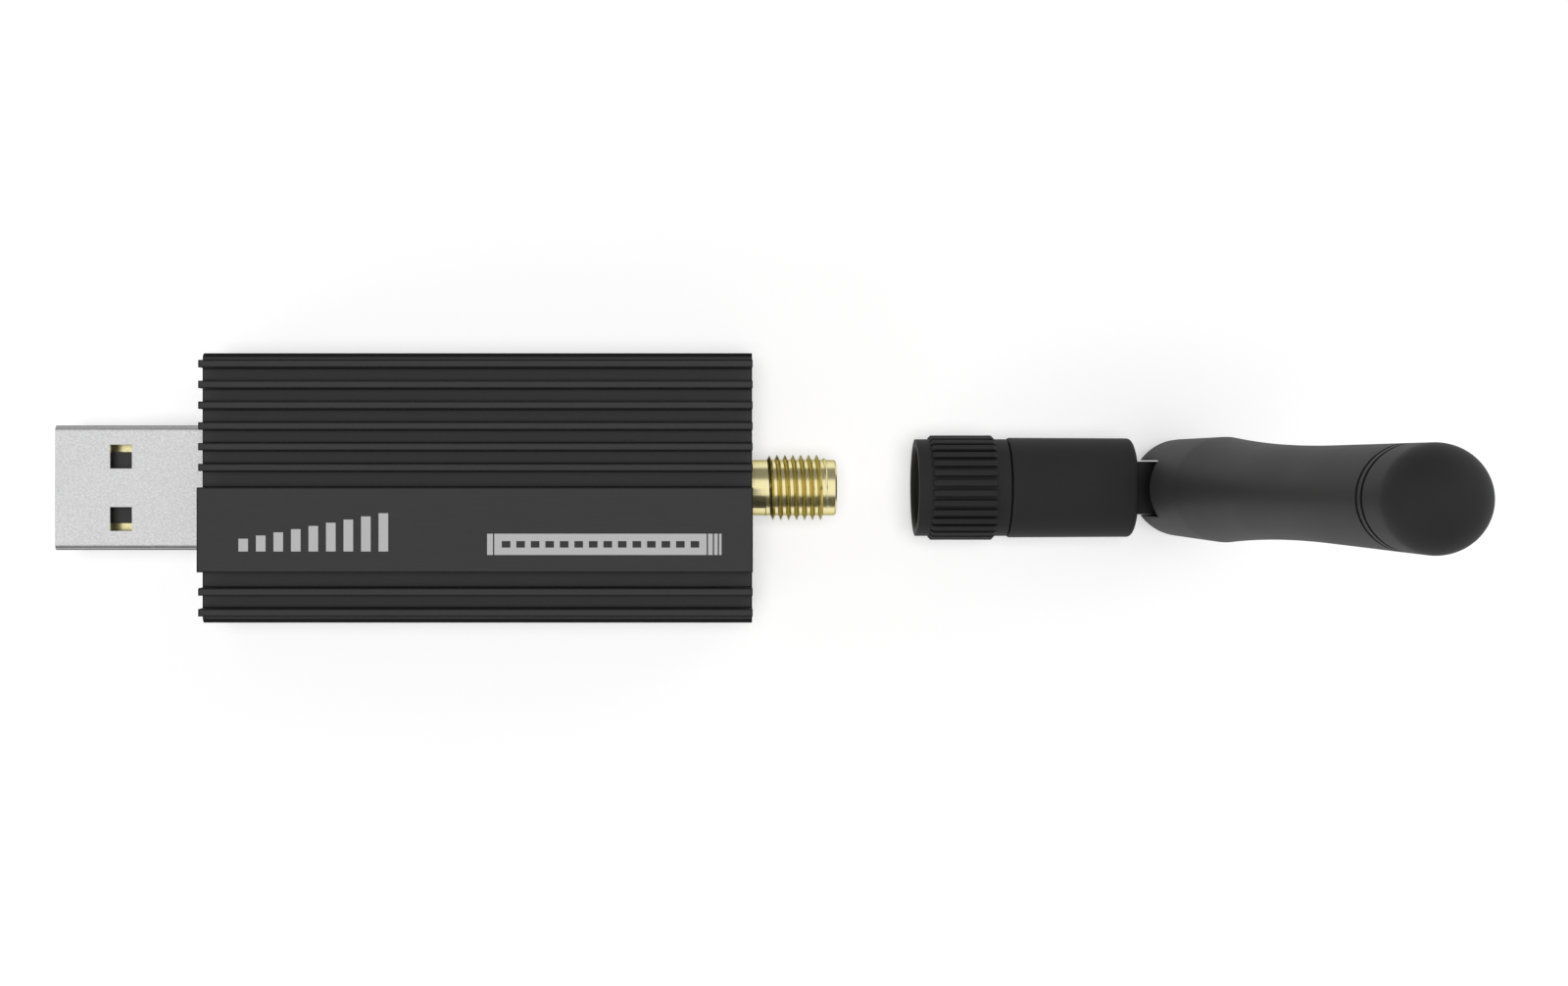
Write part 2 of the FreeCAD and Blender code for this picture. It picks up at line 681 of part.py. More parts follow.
def screw(name, outer_face, side, sign):
    """Countersunk screw with a cross recess; sign is the way its head faces."""
    sink = half(minus(size("screw_head"), size("screw_shank")))
    shank_length = minus(size("screw_length"), sink)
    narrow = size("screw_shank")
    wide = size("screw_head")
    if sign > 0:
        head = cone(f"{name}_head", minus(outer_face, sink), side, SCREW_HEIGHT, narrow, wide, sink)
        shank_start = minus(outer_face, size("screw_length"))
        recess_start = minus(outer_face, size("recess_depth"))
    else:
        head = cone(f"{name}_head", outer_face, side, SCREW_HEIGHT, wide, narrow, sink)
        shank_start = total(outer_face, sink)
        recess_start = outer_face
    shank = rod(f"{name}_shank", shank_start, side, SCREW_HEIGHT, narrow, shank_length)
    slots = []
    for width, height in (("recess_width", "recess_span"), ("recess_span", "recess_width")):
        slots.append(centred_box(
            f"{name}_{height}", recess_start, side, minus(SCREW_HEIGHT, half(size(height))),
            size("recess_depth"), size(width), size(height),
        ))
    return cut(name, fuse(f"{name}_blank", [head, shank]), fuse(f"{name}_recess", slots))


def make_screws():
    for end, face, sign in (("plug", CASE_FRONT, -1), ("socket", CASE_END, 1)):
        pair = []
        for index, side in enumerate((SCREW_SIDE, negative(SCREW_SIDE))):
            pair.append(screw(f"{end}_screw_{index}", face, side, sign))
        group(f"{end}_end_screws", pair)


# Circuit board and what is soldered to it

ENDS = {
    # what a component's distance is measured from, and which way
    "plug": (SHELL_END, 1),
    "socket": (FLANGE_BACK, -1),
}
CHIPS = [
    # name, end, distance of its middle from that end, middle across, length, width, height
    ("radio_chip", "socket", 17.9, 0.0, 7.0, 7.0, 0.9),
    ("range_amplifier", "socket", 9.8, 0.6, 4.0, 4.0, 0.85),
    ("usb_bridge_chip", "plug", 11.0, -2.6, 5.0, 5.0, 0.85),
    ("voltage_regulator", "plug", 8.9, 5.2, 3.0, 1.7, 1.1),
    ("surge_guard", "plug", 4.9, 0.0, 2.9, 1.6, 1.1),
]
SMALL_PARTS = {
    # name: size along, across and up, then the end, the distance from it and the middle across
    "crystals": ((3.2, 2.5, 0.8), [("socket", 22.8, 5.8), ("socket", 17.4, -6.2)]),
    "inductors": ((1.6, 0.8, 0.9), [("socket", 13.0, 3.6), ("socket", 5.8, 0.0), ("socket", 7.2, 3.6)]),
    "capacitors": ((1.0, 0.5, 0.5), [
        ("plug", 5.5, 5.2), ("plug", 5.5, 6.6), ("plug", 7.1, -4.8), ("plug", 7.1, -6.2),
        ("plug", 12.1, 5.2), ("plug", 12.1, 6.6), ("plug", 15.3, 0.8), ("plug", 15.3, -4.2),
        ("socket", 23.2, 3.4), ("socket", 23.2, -3.4), ("socket", 13.0, -2.4), ("socket", 13.0, -3.8),
        ("socket", 9.8, 4.6), ("socket", 9.8, -3.2), ("socket", 5.0, -2.4),
    ]),
    "resistors": ((1.0, 0.5, 0.35), [
        ("plug", 3.5, 2.6), ("plug", 3.5, -2.6), ("plug", 15.3, 2.4), ("plug", 15.3, 3.8),
        ("plug", 15.3, -1.0), ("plug", 15.3, -2.6), ("socket", 20.2, 6.6), ("socket", 13.2, 6.4),
    ]),
    "status_lights": ((1.6, 0.8, 0.6), [
        ("plug", 15.3, LIGHT_SIDE), ("plug", 15.3, negative(LIGHT_SIDE)),
    ]),
}


def make_board():
    notch_side = total(half(size("shell_width")), size("window_play"))
    notch_end = total(SHELL_END, size("window_play"))
    body = new_body("circuit_board", z=total(AXIS_HEIGHT, BOARD_BOTTOM))
    face = new_sketch(body, "board_outline", "XY_Plane")
    outline(face, [
        (BOARD_FRONT, negative(BOARD_SIDE)),
        (FLANGE_BACK, negative(BOARD_SIDE)),
        (FLANGE_BACK, BOARD_SIDE),
        (BOARD_FRONT, BOARD_SIDE),
        (BOARD_FRONT, notch_side),
        (notch_end, notch_side),
        (notch_end, negative(notch_side)),
        (BOARD_FRONT, negative(notch_side)),
    ])
    pad(body, "board_sheet", face, size("board_thickness"))


def component(name, end, distance, across, length, width, height):
    """Block on the board, measured from one of its ends."""
    origin, way = ENDS[end]
    start = total(origin, str(way * distance - length / 2))
    return centred_box(name, start, str(across), BOARD_FACE, str(length), str(width), str(height))


def make_components():
    for name, *facts in CHIPS:
        keep(component(name, *facts), name)
    for name, (block, places) in SMALL_PARTS.items():
        pieces = []
        for index, spot in enumerate(places):
            pieces.append(component(f"{name}_{index}", *spot, *block))
        group(name, pieces)


# Plug

def make_shell():
    body = new_body("usb_shell")
    side = half(size("shell_width"))
    rise = half(size("shell_height"))
    length = total(size("plug_reach"), size("shell_tail"))
    tube = new_sketch(body, "shell_outline", "YZ_Plane", PLUG_FRONT)
    rectangle(tube, negative(side), side, negative(rise), rise)
    pad(body, "shell_block", tube, length)
    corners = long_edges(body, number(side), number(rise))
    round_edges(body, "shell_rounding", corners, size("shell_corner"))

    wing_sketch = new_sketch(body, "wing_outline", "YZ_Plane", SHELL_END)
    wing_out = total(side, size("wing_width"))
    rectangle(wing_sketch, negative(wing_out), wing_out, BOARD_TOP, total(BOARD_TOP, size("shell_wall")))
    pad(body, "wings", wing_sketch, size("wing_length"), reverse=True)

    inner_side = minus(side, size("shell_wall"))
    inner_rise = minus(rise, size("shell_wall"))
    inner_round = minus(size("shell_corner"), size("shell_wall"))
    flat_side = minus(inner_side, inner_round)
    flat_rise = minus(inner_rise, inner_round)
    bore = new_sketch(body, "shell_bore", "YZ_Plane", PLUG_FRONT)
    outline(bore, [
        (flat_side, negative(inner_rise)),
        (inner_side, negative(flat_rise), "x", flat_side),
        (inner_side, flat_rise),
        (flat_side, inner_rise, "x", flat_side),
        (negative(flat_side), inner_rise),
        (negative(inner_side), flat_rise, "x", negative(flat_side)),
        (negative(inner_side), negative(flat_rise)),
        (negative(flat_side), negative(inner_rise), "x", negative(flat_side)),
    ])
    pocket(body, "shell_inside", bore, times(length, "3"), symmetric=True)

    start = total(PLUG_FRONT, size("window_front"))
    windows = new_sketch(body, "window_outlines", "XY_Plane")
    for side_place in (size("window_side"), negative(size("window_side"))):
        rectangle(
            windows, start, total(start, size("window_length")),
            minus(side_place, half(size("window_width"))), total(side_place, half(size("window_width"))),
        )
    pocket(body, "windows", windows, times(size("shell_height"), "2"), symmetric=True)

    seam = new_sketch(body, "seam_outline", "XY_Plane", negative(rise))
    far = total(SHELL_END, size("wing_length"))
    seam_half = half(size("shell_seam"))
    rectangle(seam, minus(PLUG_FRONT, size("shell_wall")), far, negative(seam_half), seam_half)
    pocket(body, "seam", seam, times(size("shell_wall"), "3"), symmetric=True)


def contact_profile(x):
    """Sides of a contact strip in the XZ plane, from the tongue to the board."""
    tail_end = total(SHELL_END, size("window_play"), size("contact_tail"))
    top = total(TONGUE_TOP, size("contact_proud"))
    low = minus(top, size("contact_thickness"))
    bend = total(SHELL_END, size("window_play"))
    tail_top = total(BOARD_TOP, size("contact_thickness"))
    return [
        (x, low),
        (minus(bend, size("contact_thickness")), low),
        (bend, BOARD_TOP),
        (tail_end, BOARD_TOP),
        (tail_end, tail_top),
        (total(bend, size("contact_thickness")), tail_top),
        (bend, top),
        (x, top),
    ]


def contact_sides():
    inner = size("inner_contact_side")
    outer = size("outer_contact_side")
    return [negative(outer), negative(inner), inner, outer]


def make_moulding_and_contacts():
    play = size("moulding_play")
    half_width = minus(half(size("shell_width")), size("shell_wall"), play)
    low = total(negative(half(size("shell_height"))), size("shell_wall"), play)
    high = negative(low)
    corner = size("shell_wall")
    tongue_start = total(PLUG_FRONT, size("tongue_setback"))
    block_start = total(tongue_start, size("tongue_length"))
    strip_start = total(tongue_start, size("contact_setback"))

    body = new_body("plug_moulding")
    tongue = new_sketch(body, "tongue_outline", "YZ_Plane", tongue_start)
    outline(tongue, [
        (negative(half_width), TONGUE_TOP),
        (negative(half_width), total(low, corner)),
        (total(negative(half_width), corner), low),
        (minus(half_width, corner), low),
        (half_width, total(low, corner)),
        (half_width, TONGUE_TOP),
    ])
    pad(body, "tongue", tongue, minus(SHELL_END, tongue_start))
    block = new_sketch(body, "block_outline", "YZ_Plane", block_start)
    outline(block, [
        (negative(half_width), minus(TONGUE_TOP, half(corner))),
        (half_width, minus(TONGUE_TOP, half(corner))),
        (half_width, minus(high, corner)),
        (minus(half_width, corner), high),
        (total(negative(half_width), corner), high),
        (negative(half_width), minus(high, corner)),
    ])
    pad(body, "block", block, minus(SHELL_END, block_start))
    channels = new_sketch(body, "channel_outlines", "YZ_Plane", strip_start)
    floor = minus(total(TONGUE_TOP, size("contact_proud")), size("contact_thickness"))
    ceiling = total(TONGUE_TOP, size("contact_proud"))
    for side in contact_sides():
        rectangle(
            channels, minus(side, half(size("contact_width"))), total(side, half(size("contact_width"))),
            floor, ceiling,
        )
    pocket(body, "channels", channels, minus(SHELL_END, PLUG_FRONT), reverse=True)

    strips = []
    for index, side in enumerate(contact_sides()):
        strip = doc.addObject("PartDesign::Body", f"contact_{index}")
        place(strip, "0", side, AXIS_HEIGHT)
        profile = new_sketch(strip, f"contact_{index}_profile", "XZ_Plane")
        outline(profile, contact_profile(strip_start))
        pad(strip, f"contact_{index}_strip", profile, size("contact_width"), symmetric=True)
        strips.append(strip)
    group("usb_contacts", strips)


# Socket for the aerial

def make_socket():
    neck = half(size("neck_diameter"))
    crest = half(size("thread_diameter"))
    chamfer = size("nose_chamfer")
    profile = [
        (FLANGE_BACK, half(size("line_diameter"))),
        (SOCKET_FACE, half(size("line_diameter"))),
        (SOCKET_FACE, half(size("socket_bore"))),
        (NOSE_END, half(size("socket_bore"))),
        (NOSE_END, minus(neck, chamfer)),
        (minus(NOSE_END, chamfer), neck),
        (THREAD_END, neck),
    ]
    for turn in reversed(range(whole(size("thread_turns")))):
        start = total(NECK_END, times(size("thread_pitch"), str(turn)))
        profile.append((total(start, half(size("thread_pitch"))), crest))
        profile.append((start, neck))
    profile.append((FLANGE_BACK, neck))
    body = turned("antenna_socket", profile)

    flange = new_sketch(body, "flange_outline", "YZ_Plane", FLANGE_BACK)
    edge = half(size("flange_size"))
    rectangle(flange, negative(edge), edge, negative(edge), edge)
    circle(flange, "0", "0", size("line_diameter"))
    pad(body, "flange", flange, size("flange_thickness"))
    legs = new_sketch(body, "leg_outlines", "YZ_Plane", FLANGE_BACK)
    for side in (size("leg_side"), negative(size("leg_side"))):
        near = minus(side, half(size("leg_width")))
        far = total(side, half(size("leg_width")))
        rectangle(legs, near, far, BOARD_TOP, total(BOARD_TOP, size("leg_height")))
        rectangle(legs, near, far, minus(BOARD_BOTTOM, size("leg_height")), BOARD_BOTTOM)
    pad(body, "legs", legs, size("leg_length"), reverse=True)

    line = half(size("line_diameter"))
    contact = half(size("contact_diameter"))
    turned("socket_insulator", [
        (FLANGE_BACK, contact), (SOCKET_FACE, contact), (SOCKET_FACE, line), (FLANGE_BACK, line),
    ])
    tail = half(size("centre_tail_diameter"))
    bore_end = minus(SOCKET_FACE, size("contact_bore_depth"))
    tail_end = minus(FLANGE_BACK, size("centre_tail"))
    turned("socket_contact", [
        (tail_end, "0"), (bore_end, "0"), (bore_end, half(size("contact_bore"))),
        (SOCKET_FACE, half(size("contact_bore"))), (SOCKET_FACE, contact), (FLANGE_BACK, contact),
        (FLANGE_BACK, tail), (tail_end, tail),
    ])


# Coupling of the aerial

def make_sleeve():
    outer = half(size("sleeve_diameter"))
    rib = half(size("knurl_diameter"))
    mouth = half(size("mouth_diameter"))
    nut = half(size("nut_diameter"))
    slope = size("mouth_chamfer")
    chamfer = size("knurl_chamfer")
    knurl_start = total(RIM, size("knurl_setback"))
    knurl_end = total(knurl_start, size("knurl_length"))
    body = turned("knurled_sleeve", [
        (RIM, total(mouth, slope)),
        (total(RIM, slope), mouth),
        (NUT_START, mouth),
        (NUT_START, nut),
        (SLEEVE_END, nut),
        (SLEEVE_END, outer),
        (knurl_end, outer),
        (knurl_end, minus(rib, chamfer)),
        (minus(knurl_end, chamfer), rib),
        (total(knurl_start, chamfer), rib),
        (knurl_start, minus(rib, chamfer)),
        (knurl_start, outer),
        (RIM, outer),
    ])
    before = body.Shape.Volume
    notch = new_sketch(body, "groove_outline", "YZ_Plane", knurl_start)
    groove = half(size("knurl_groove"))
    rectangle(notch, negative(groove), groove, outer, total(rib, size("knurl_chamfer")))
    first = pocket(body, "first_groove", notch, size("knurl_length"), reverse=True)
    ring = body.newObject("PartDesign::PolarPattern", "grooves")
    ring.Originals = [first]
    ring.Axis = (origin_feature(body, "X_Axis"), [""])
    ring.Angle = 360
    ring.setExpression("Occurrences", size("knurl_ribs"))
    body.Tip = ring
    doc.recompute()
    check_cut(body, "grooves", before)


def make_nut():
    outer = half(size("nut_diameter"))
    bore = half(size("nut_bore"))
    neck = total(half(size("body_diameter")), size("swivel_play"))
    groove = total(half(size("clip_outer")), size("swivel_play"))
    play = size("clip_play")
    turned("coupling_nut", [
        (NUT_START, bore),
        (NUT_FLANGE_START, bore),
        (NUT_FLANGE_START, neck),
        (minus(CLIP_START, play), neck),
        (minus(CLIP_START, play), groove),
        (total(CLIP_END, play), groove),
        (total(CLIP_END, play), neck),
        (NUT_END, neck),
        (NUT_END, outer),
        (NUT_START, outer),
    ])
    body = turned("spring_ring", [
        (CLIP_START, half(size("clip_inner"))),
        (CLIP_END, half(size("clip_inner"))),
        (CLIP_END, half(size("clip_outer"))),
        (CLIP_START, half(size("clip_outer"))),
    ])
    opening = new_sketch(body, "clip_opening", "YZ_Plane", minus(CLIP_START, play))
    gap = half(size("clip_gap"))
    rectangle(opening, negative(gap), gap, negative(size("clip_outer")), "0")
    pocket(body, "clip_gap_cut", opening, times("2", size("clip_thickness")), reverse=True)


# Connector body of the aerial

def make_connector():
    bore = half(size("insulator_diameter"))
    ring = half(size("ring_diameter"))
    outer = half(size("body_diameter"))
    groove = minus(half(size("clip_inner")), size("clip_play"))
    channel = half(size("lead_channel"))
    play = size("clip_play")
    turned("connector_body", [
        (RING_FACE, bore),
        (PIN_END, bore),
        (PIN_END, channel),
        (BODY_END, channel),
        (BODY_END, outer),
        (total(CLIP_END, play), outer),
        (total(CLIP_END, play), groove),
        (minus(CLIP_START, play), groove),
        (minus(CLIP_START, play), outer),
        (RING_END, outer),
        (RING_END, ring),
        (RING_FACE, ring),
    ])
    contact = half(size("contact_diameter"))
    turned("connector_insulator", [
        (RING_FACE, contact), (INSULATOR_END, contact), (INSULATOR_END, bore), (RING_FACE, bore),
    ])
    pin = half(size("pin_diameter"))
    tip = minus(RING_FACE, size("pin_reach"))
    turned("centre_pin", [
        (tip, "0"),
        (PIN_END, "0"),
        (PIN_END, contact),
        (RING_FACE, contact),
        (RING_FACE, pin),
        (total(tip, half(pin)), pin),
        (tip, half(pin)),
    ])


# Barrel with the hinge's tongue

def make_barrel():
    start = half(size("barrel_diameter"))
    end = half(size("barrel_end_diameter"))
    core = half(size("body_diameter"))
    rounding = size("barrel_round")
    body = turned("barrel", [
        (BARREL_START, core),
        (BODY_END, core),
        (BODY_END, "0"),
        (BARREL_END, "0"),
        (BARREL_END, minus(end, rounding)),
        (minus(BARREL_END, rounding), end, "x", minus(BARREL_END, rounding)),
        (total(BARREL_START, half(rounding)), start),
        (BARREL_START, minus(start, half(rounding)), "x", total(BARREL_START, half(rounding))),
    ])
    knuckle = size("knuckle_radius")
    root = minus(BARREL_END, half(rounding))
    tongue = new_sketch(body, "tongue_side", "XZ_Plane")
    outline(tongue, [
        (root, negative(knuckle)),
        (HINGE, negative(knuckle)),
        (total(HINGE, knuckle), "0", "x", HINGE),
        (HINGE, knuckle, "x", HINGE),
        (root, knuckle),
    ])
    pad(body, "hinge_tongue", tongue, size("tongue_width"), symmetric=True)
    channel = new_sketch(body, "lead_channel_outline", "YZ_Plane", BODY_END)
    circle(channel, "0", "0", size("lead_channel"))
    pocket(body, "lead_way", channel, times("2", size("barrel_length")), reverse=True)
    bores = new_sketch(body, "pivot_bores", "XZ_Plane")
    circle(bores, HINGE, "0", total(size("pivot_diameter"), size("pivot_play"), size("pivot_play")))
    pocket(body, "pivot_bore", bores, times("2", size("tongue_width")), symmetric=True)
    return body


def make_lead_in_barrel():
    lead = half(size("lead_diameter"))
    lead_end = minus(HINGE, size("lead_margin"))
    turned("lead_in_barrel", [(PIN_END, "0"), (lead_end, "0"), (lead_end, lead), (PIN_END, lead)])


# Mast

def make_mast():
    ball = size("mast_radius")
    slim = size("slim_radius")
    bore = half(size("mast_bore"))
    channel = half(size("lead_channel"))
    seam = size("seam_height")
    groove = minus(slim, size("ring_depth"))
    groove_start = minus(seam, half(size("ring_width")))
    body = turned("mast", [
        ("0", negative(ball)),
        (ball, "0", "x", "0"),
        (ball, size("kink_height")),
        (slim, size("slim_height"), "y", size("slim_height")),
        (slim, groove_start),
        (groove, groove_start),
        (groove, seam),
        (bore, seam),
        (bore, size("mast_floor")),
        (channel, size("mast_floor")),
        (channel, half(size("slot_ceiling"))),
        ("0", half(size("slot_ceiling"))),
    ], axis="V_Axis", x=HINGE)

    clear = total(size("knuckle_radius"), size("knuckle_play"))
    back = size("slot_back")
    outside = times("2", ball)
    shoulder = f"sqrt(({clear}) ^ 2 - ({back}) ^ 2)"
    slot = new_sketch(body, "slot_side", "XZ_Plane")
    outline(slot, [
        (negative(outside), negative(outside)),
        (clear, negative(outside)),
        (clear, "0"),
        (back, shoulder, "x", "0"),
        (back, size("slot_ceiling")),
        (negative(outside), size("slot_ceiling")),
    ])
    width = total(size("tongue_width"), size("slot_play"), size("slot_play"))
    pocket(body, "slot", slot, width, symmetric=True)
    bores = new_sketch(body, "ear_bores", "XZ_Plane")
    circle(bores, "0", "0", size("pivot_diameter"))
    pocket(body, "ear_bore", bores, times("4", ball), symmetric=True)


def make_pivots():
    length = minus(size("mast_radius"), size("pivot_sink"), size("pivot_inner"))
    pins = []
    for index, start in enumerate((size("pivot_inner"), negative(total(size("pivot_inner"), length)))):
        pin = doc.addObject("Part::Cylinder", f"pivot_{index}")
        pin.setExpression("Radius", half(size("pivot_diameter")))
        pin.setExpression("Height", length)
        pin.Placement.Rotation = FreeCAD.Rotation(FreeCAD.Vector(1, 0, 0), -90)
        pins.append(place(pin, HINGE, start, AXIS_HEIGHT))
    group("hinge_pins", pins)


def make_tip_cap():
    slim = size("slim_radius")
    seam = size("seam_height")
    centre = size("tip_centre")
    plug = minus(half(size("mast_bore")), size("spigot_play"))
    inside = minus(plug, size("spigot_wall"))
    foot = minus(seam, size("spigot_length"))
    wire = half(size("whip_diameter"))
    boss = total(wire, size("boss_wall"))
    boss_foot = minus(WHIP_END, size("whip_socket"))
    ring = half(size("ring_width"))
    groove = minus(slim, size("ring_depth"))
    second = size("second_ring_height")
    turned("tip_cap", [
        ("0", WHIP_END),
        (wire, WHIP_END),
        (wire, boss_foot),
        (boss, boss_foot),
        (boss, centre),
        (inside, centre),
        (inside, foot),
        (plug, foot),
        (plug, seam),
        (groove, seam),
        (groove, total(seam, ring)),
        (slim, total(seam, ring)),
        (slim, minus(second, ring)),
        (groove, minus(second, ring)),
        (groove, total(second, ring)),
        (slim, total(second, ring)),
        (slim, centre),
        ("0", total(centre, slim), "x", "0"),
    ], axis="V_Axis", x=HINGE)


def make_radiator():
    outer = half(size("sleeve_tube_diameter"))
    inner = minus(outer, size("sleeve_tube_wall"))
    lead = half(size("lead_diameter"))
    wire = half(size("whip_diameter"))
    turned("radiator_tube", [
        (inner, TUBE_START),
        (outer, TUBE_START),
        (outer, TUBE_END),
        (lead, TUBE_END),
        (lead, minus(TUBE_END, size("sleeve_tube_wall"))),
        (inner, minus(TUBE_END, size("sleeve_tube_wall"))),
    ], axis="V_Axis", x=HINGE)
    turned("lead_in_mast", [
        ("0", minus(size("slot_ceiling"), size("lead_margin"))),
        (lead, minus(size("slot_ceiling"), size("lead_margin"))),
        (lead, TUBE_END),
        ("0", TUBE_END),
    ], axis="V_Axis", x=HINGE)
    turned("radiator_wire", [
        ("0", TUBE_END), (wire, TUBE_END), (wire, WHIP_END), ("0", WHIP_END),
    ], axis="V_Axis", x=HINGE)


# Print on the band

def printed_field(start, low, top):
    """Long field with a row of open dashes."""
    ink = size("ink_thickness")
    count = whole(size("field_dashes"))
    room = minus(size("field_length"), size("field_margin"), size("field_margin"))
    spaces = times(size("field_dash_space"), str(count - 1))
    dash = f"({minus(room, spaces)}) / {count}"
    pitch = total(dash, size("field_dash_space"))
    openings = []
    for index in range(count):
        dash_start = total(start, size("field_margin"), times(pitch, str(index)))
        openings.append(centred_box(
            f"dash_{index}", dash_start, size("field_side"), minus(top, ink),
            dash, size("field_dash_height"), times("3", ink),
        ))
    sheet_of_ink = box("field_sheet", start, low, top, size("field_length"), size("field_height"), ink)
    return cut("field", sheet_of_ink, fuse("dashes", openings))


def make_print():
    top = size("case_height")
    ink = size("ink_thickness")
    low = minus(size("field_side"), half(size("field_height")))
    field_end = minus(CASE_END, size("field_end"))
    field_start = minus(field_end, size("field_length"))
    pieces = [printed_field(field_start, low, top)]
    bar_start = minus(field_start, size("end_bar_space"), size("end_bar_width"))
    for index in range(4):
        width = minus(size("end_bar_width"), times(size("end_bar_step"), str(index)))
        pieces.append(box(f"end_bar_{index}", bar_start, low, top, width, size("field_height"), ink))
        end = field_end if index == 0 else total(bar_start, width)
        bar_start = total(end, size("end_bar_space"))
    bars = whole(size("mark_bars"))
    bar_width = size("mark_bar_width")
    bar_pitch = total(bar_width, size("mark_bar_space"))
    for index in range(bars):
        rise = times(minus(size("mark_height"), size("mark_low")), str(index / (bars - 1)))
        start = total(CASE_FRONT, size("mark_start"), times(bar_pitch, str(index)))
        height = total(size("mark_low"), rise)
        pieces.append(box(f"chart_bar_{index}", start, size("mark_base"), top, bar_width, height, ink))
    group("band_print", pieces)


make_case()
make_end_plates()
make_screws()
make_board()
make_components()
make_shell()
make_moulding_and_contacts()
make_socket()
make_sleeve()
make_nut()
make_connector()
make_barrel()
make_lead_in_barrel()
make_mast()
make_pivots()
make_tip_cap()
make_radiator()
make_print()
doc.recompute()

for feature in doc.Objects:
    if {"Invalid", "Error"} & set(feature.State):
        raise RuntimeError(f"{feature.Label} failed: {feature.State}")
for part in parts:
    if part.Shape.isNull() or not part.Shape.isValid():
        raise RuntimeError(f"{part.Label} has no valid shape")

os.makedirs("parts", exist_ok=True)
for part in parts:
    part.Shape.exportStep(f"parts/{part.Label}.step")
    print(part.Label, len(part.Shape.Solids), round(part.Shape.Volume, 3))
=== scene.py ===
"""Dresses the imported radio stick: finishes, the socket's true thread, a finer mast and a plain stage."""

import itertools
import math

import bmesh
import bpy
from bpy.props import FloatProperty, FloatVectorProperty, IntProperty, PointerProperty
from bpy.types import Operator, Panel, PropertyGroup
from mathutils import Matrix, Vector


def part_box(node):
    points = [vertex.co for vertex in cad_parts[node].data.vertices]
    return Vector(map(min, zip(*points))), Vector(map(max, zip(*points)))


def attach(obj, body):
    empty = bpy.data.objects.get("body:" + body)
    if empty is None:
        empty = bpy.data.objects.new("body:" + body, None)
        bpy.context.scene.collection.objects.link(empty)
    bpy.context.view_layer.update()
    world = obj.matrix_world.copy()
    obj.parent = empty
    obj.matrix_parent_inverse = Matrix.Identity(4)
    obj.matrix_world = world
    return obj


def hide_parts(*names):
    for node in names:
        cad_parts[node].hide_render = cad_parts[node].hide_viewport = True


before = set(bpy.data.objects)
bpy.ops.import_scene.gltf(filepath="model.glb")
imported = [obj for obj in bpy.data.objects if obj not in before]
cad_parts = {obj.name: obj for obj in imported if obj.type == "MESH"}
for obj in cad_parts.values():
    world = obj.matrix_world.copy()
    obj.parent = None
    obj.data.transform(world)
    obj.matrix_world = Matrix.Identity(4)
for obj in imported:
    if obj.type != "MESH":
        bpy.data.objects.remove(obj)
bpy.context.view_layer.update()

bl_info = {
    "name": "Radio stick looks",
    "version": (1, 0, 0),
    "blender": (4, 5, 0),
    "location": "View3D > Sidebar > Radio stick",
    "description": "Finishes, thread and stage for the USB radio stick",
    "category": "Object",
}

MM = 0.001
SHARP = math.radians(32)
AXIS_HEIGHT = sum(corner[2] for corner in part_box("barrel")) / 2
HINGE = Vector((sum(corner[0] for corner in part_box("hinge_pins")) / 2, 0, AXIS_HEIGHT))

NODE_COLUMN, NODE_ROW = 200, 180
BEVEL_SAMPLES = 6
HOLLOW_SHADE_SAMPLES = 8
PATCH_GAIN = 1.6
NEAR_UPRIGHT = (0.04, 0.2)
BLACK_METAL_SHINE = 0.1
SATIN_SHINE = 0.07
GLOSSY_SHINE = 0.5
GRAZING_TINT = 0.35

MERGE = 0.00005 * MM
CREST_GAIN = 1.06
WALL_LAP = 0.2 * MM
LEG_LAP = 0.1 * MM
FOOT_STEPS, WAIST_STEPS, TIP_STEPS, SLOT_STEPS, PIN_STEPS = 24, 20, 24, 12, 48
SPIGOT_GAP = 0.02 * MM
OUTSIDE = 10 * MM

MATT_ROUGHNESS = 0.9
FLOOR_GAP = 0.01 * MM
LAMP_DISTANCE = 0.6
CARD_STEPS = 24
NEAREST_SEEN = 1 * MM


def colour(name, description, red, green, blue):
    """Property for a colour."""
    return FloatVectorProperty(
        name=name, description=description, default=(red, green, blue), subtype="COLOR", min=0, max=1
    )


def length(name, description, default):
    """Property for a length in metres."""
    return FloatProperty(name=name, description=description, default=default, unit="LENGTH", precision=5)


def angle(name, description, degrees):
    """Property for an angle, kept in radians."""
    turn = math.radians(degrees)
    return FloatProperty(
        name=name, description=description, default=turn, min=0, max=math.pi, unit="ROTATION"
    )


def share(name, description, default):
    """Property for a factor from 0 to 1."""
    return FloatProperty(
        name=name, description=description, default=default, min=0, max=1, subtype="FACTOR"
    )


def amount(name, description, default, least=0.0):
    """Property for a plain number."""
    return FloatProperty(name=name, description=description, default=default, min=least, precision=4)


def whole(name, description, default, least, most):
    """Property for a whole number."""
    return IntProperty(name=name, description=description, default=default, min=least, max=most)


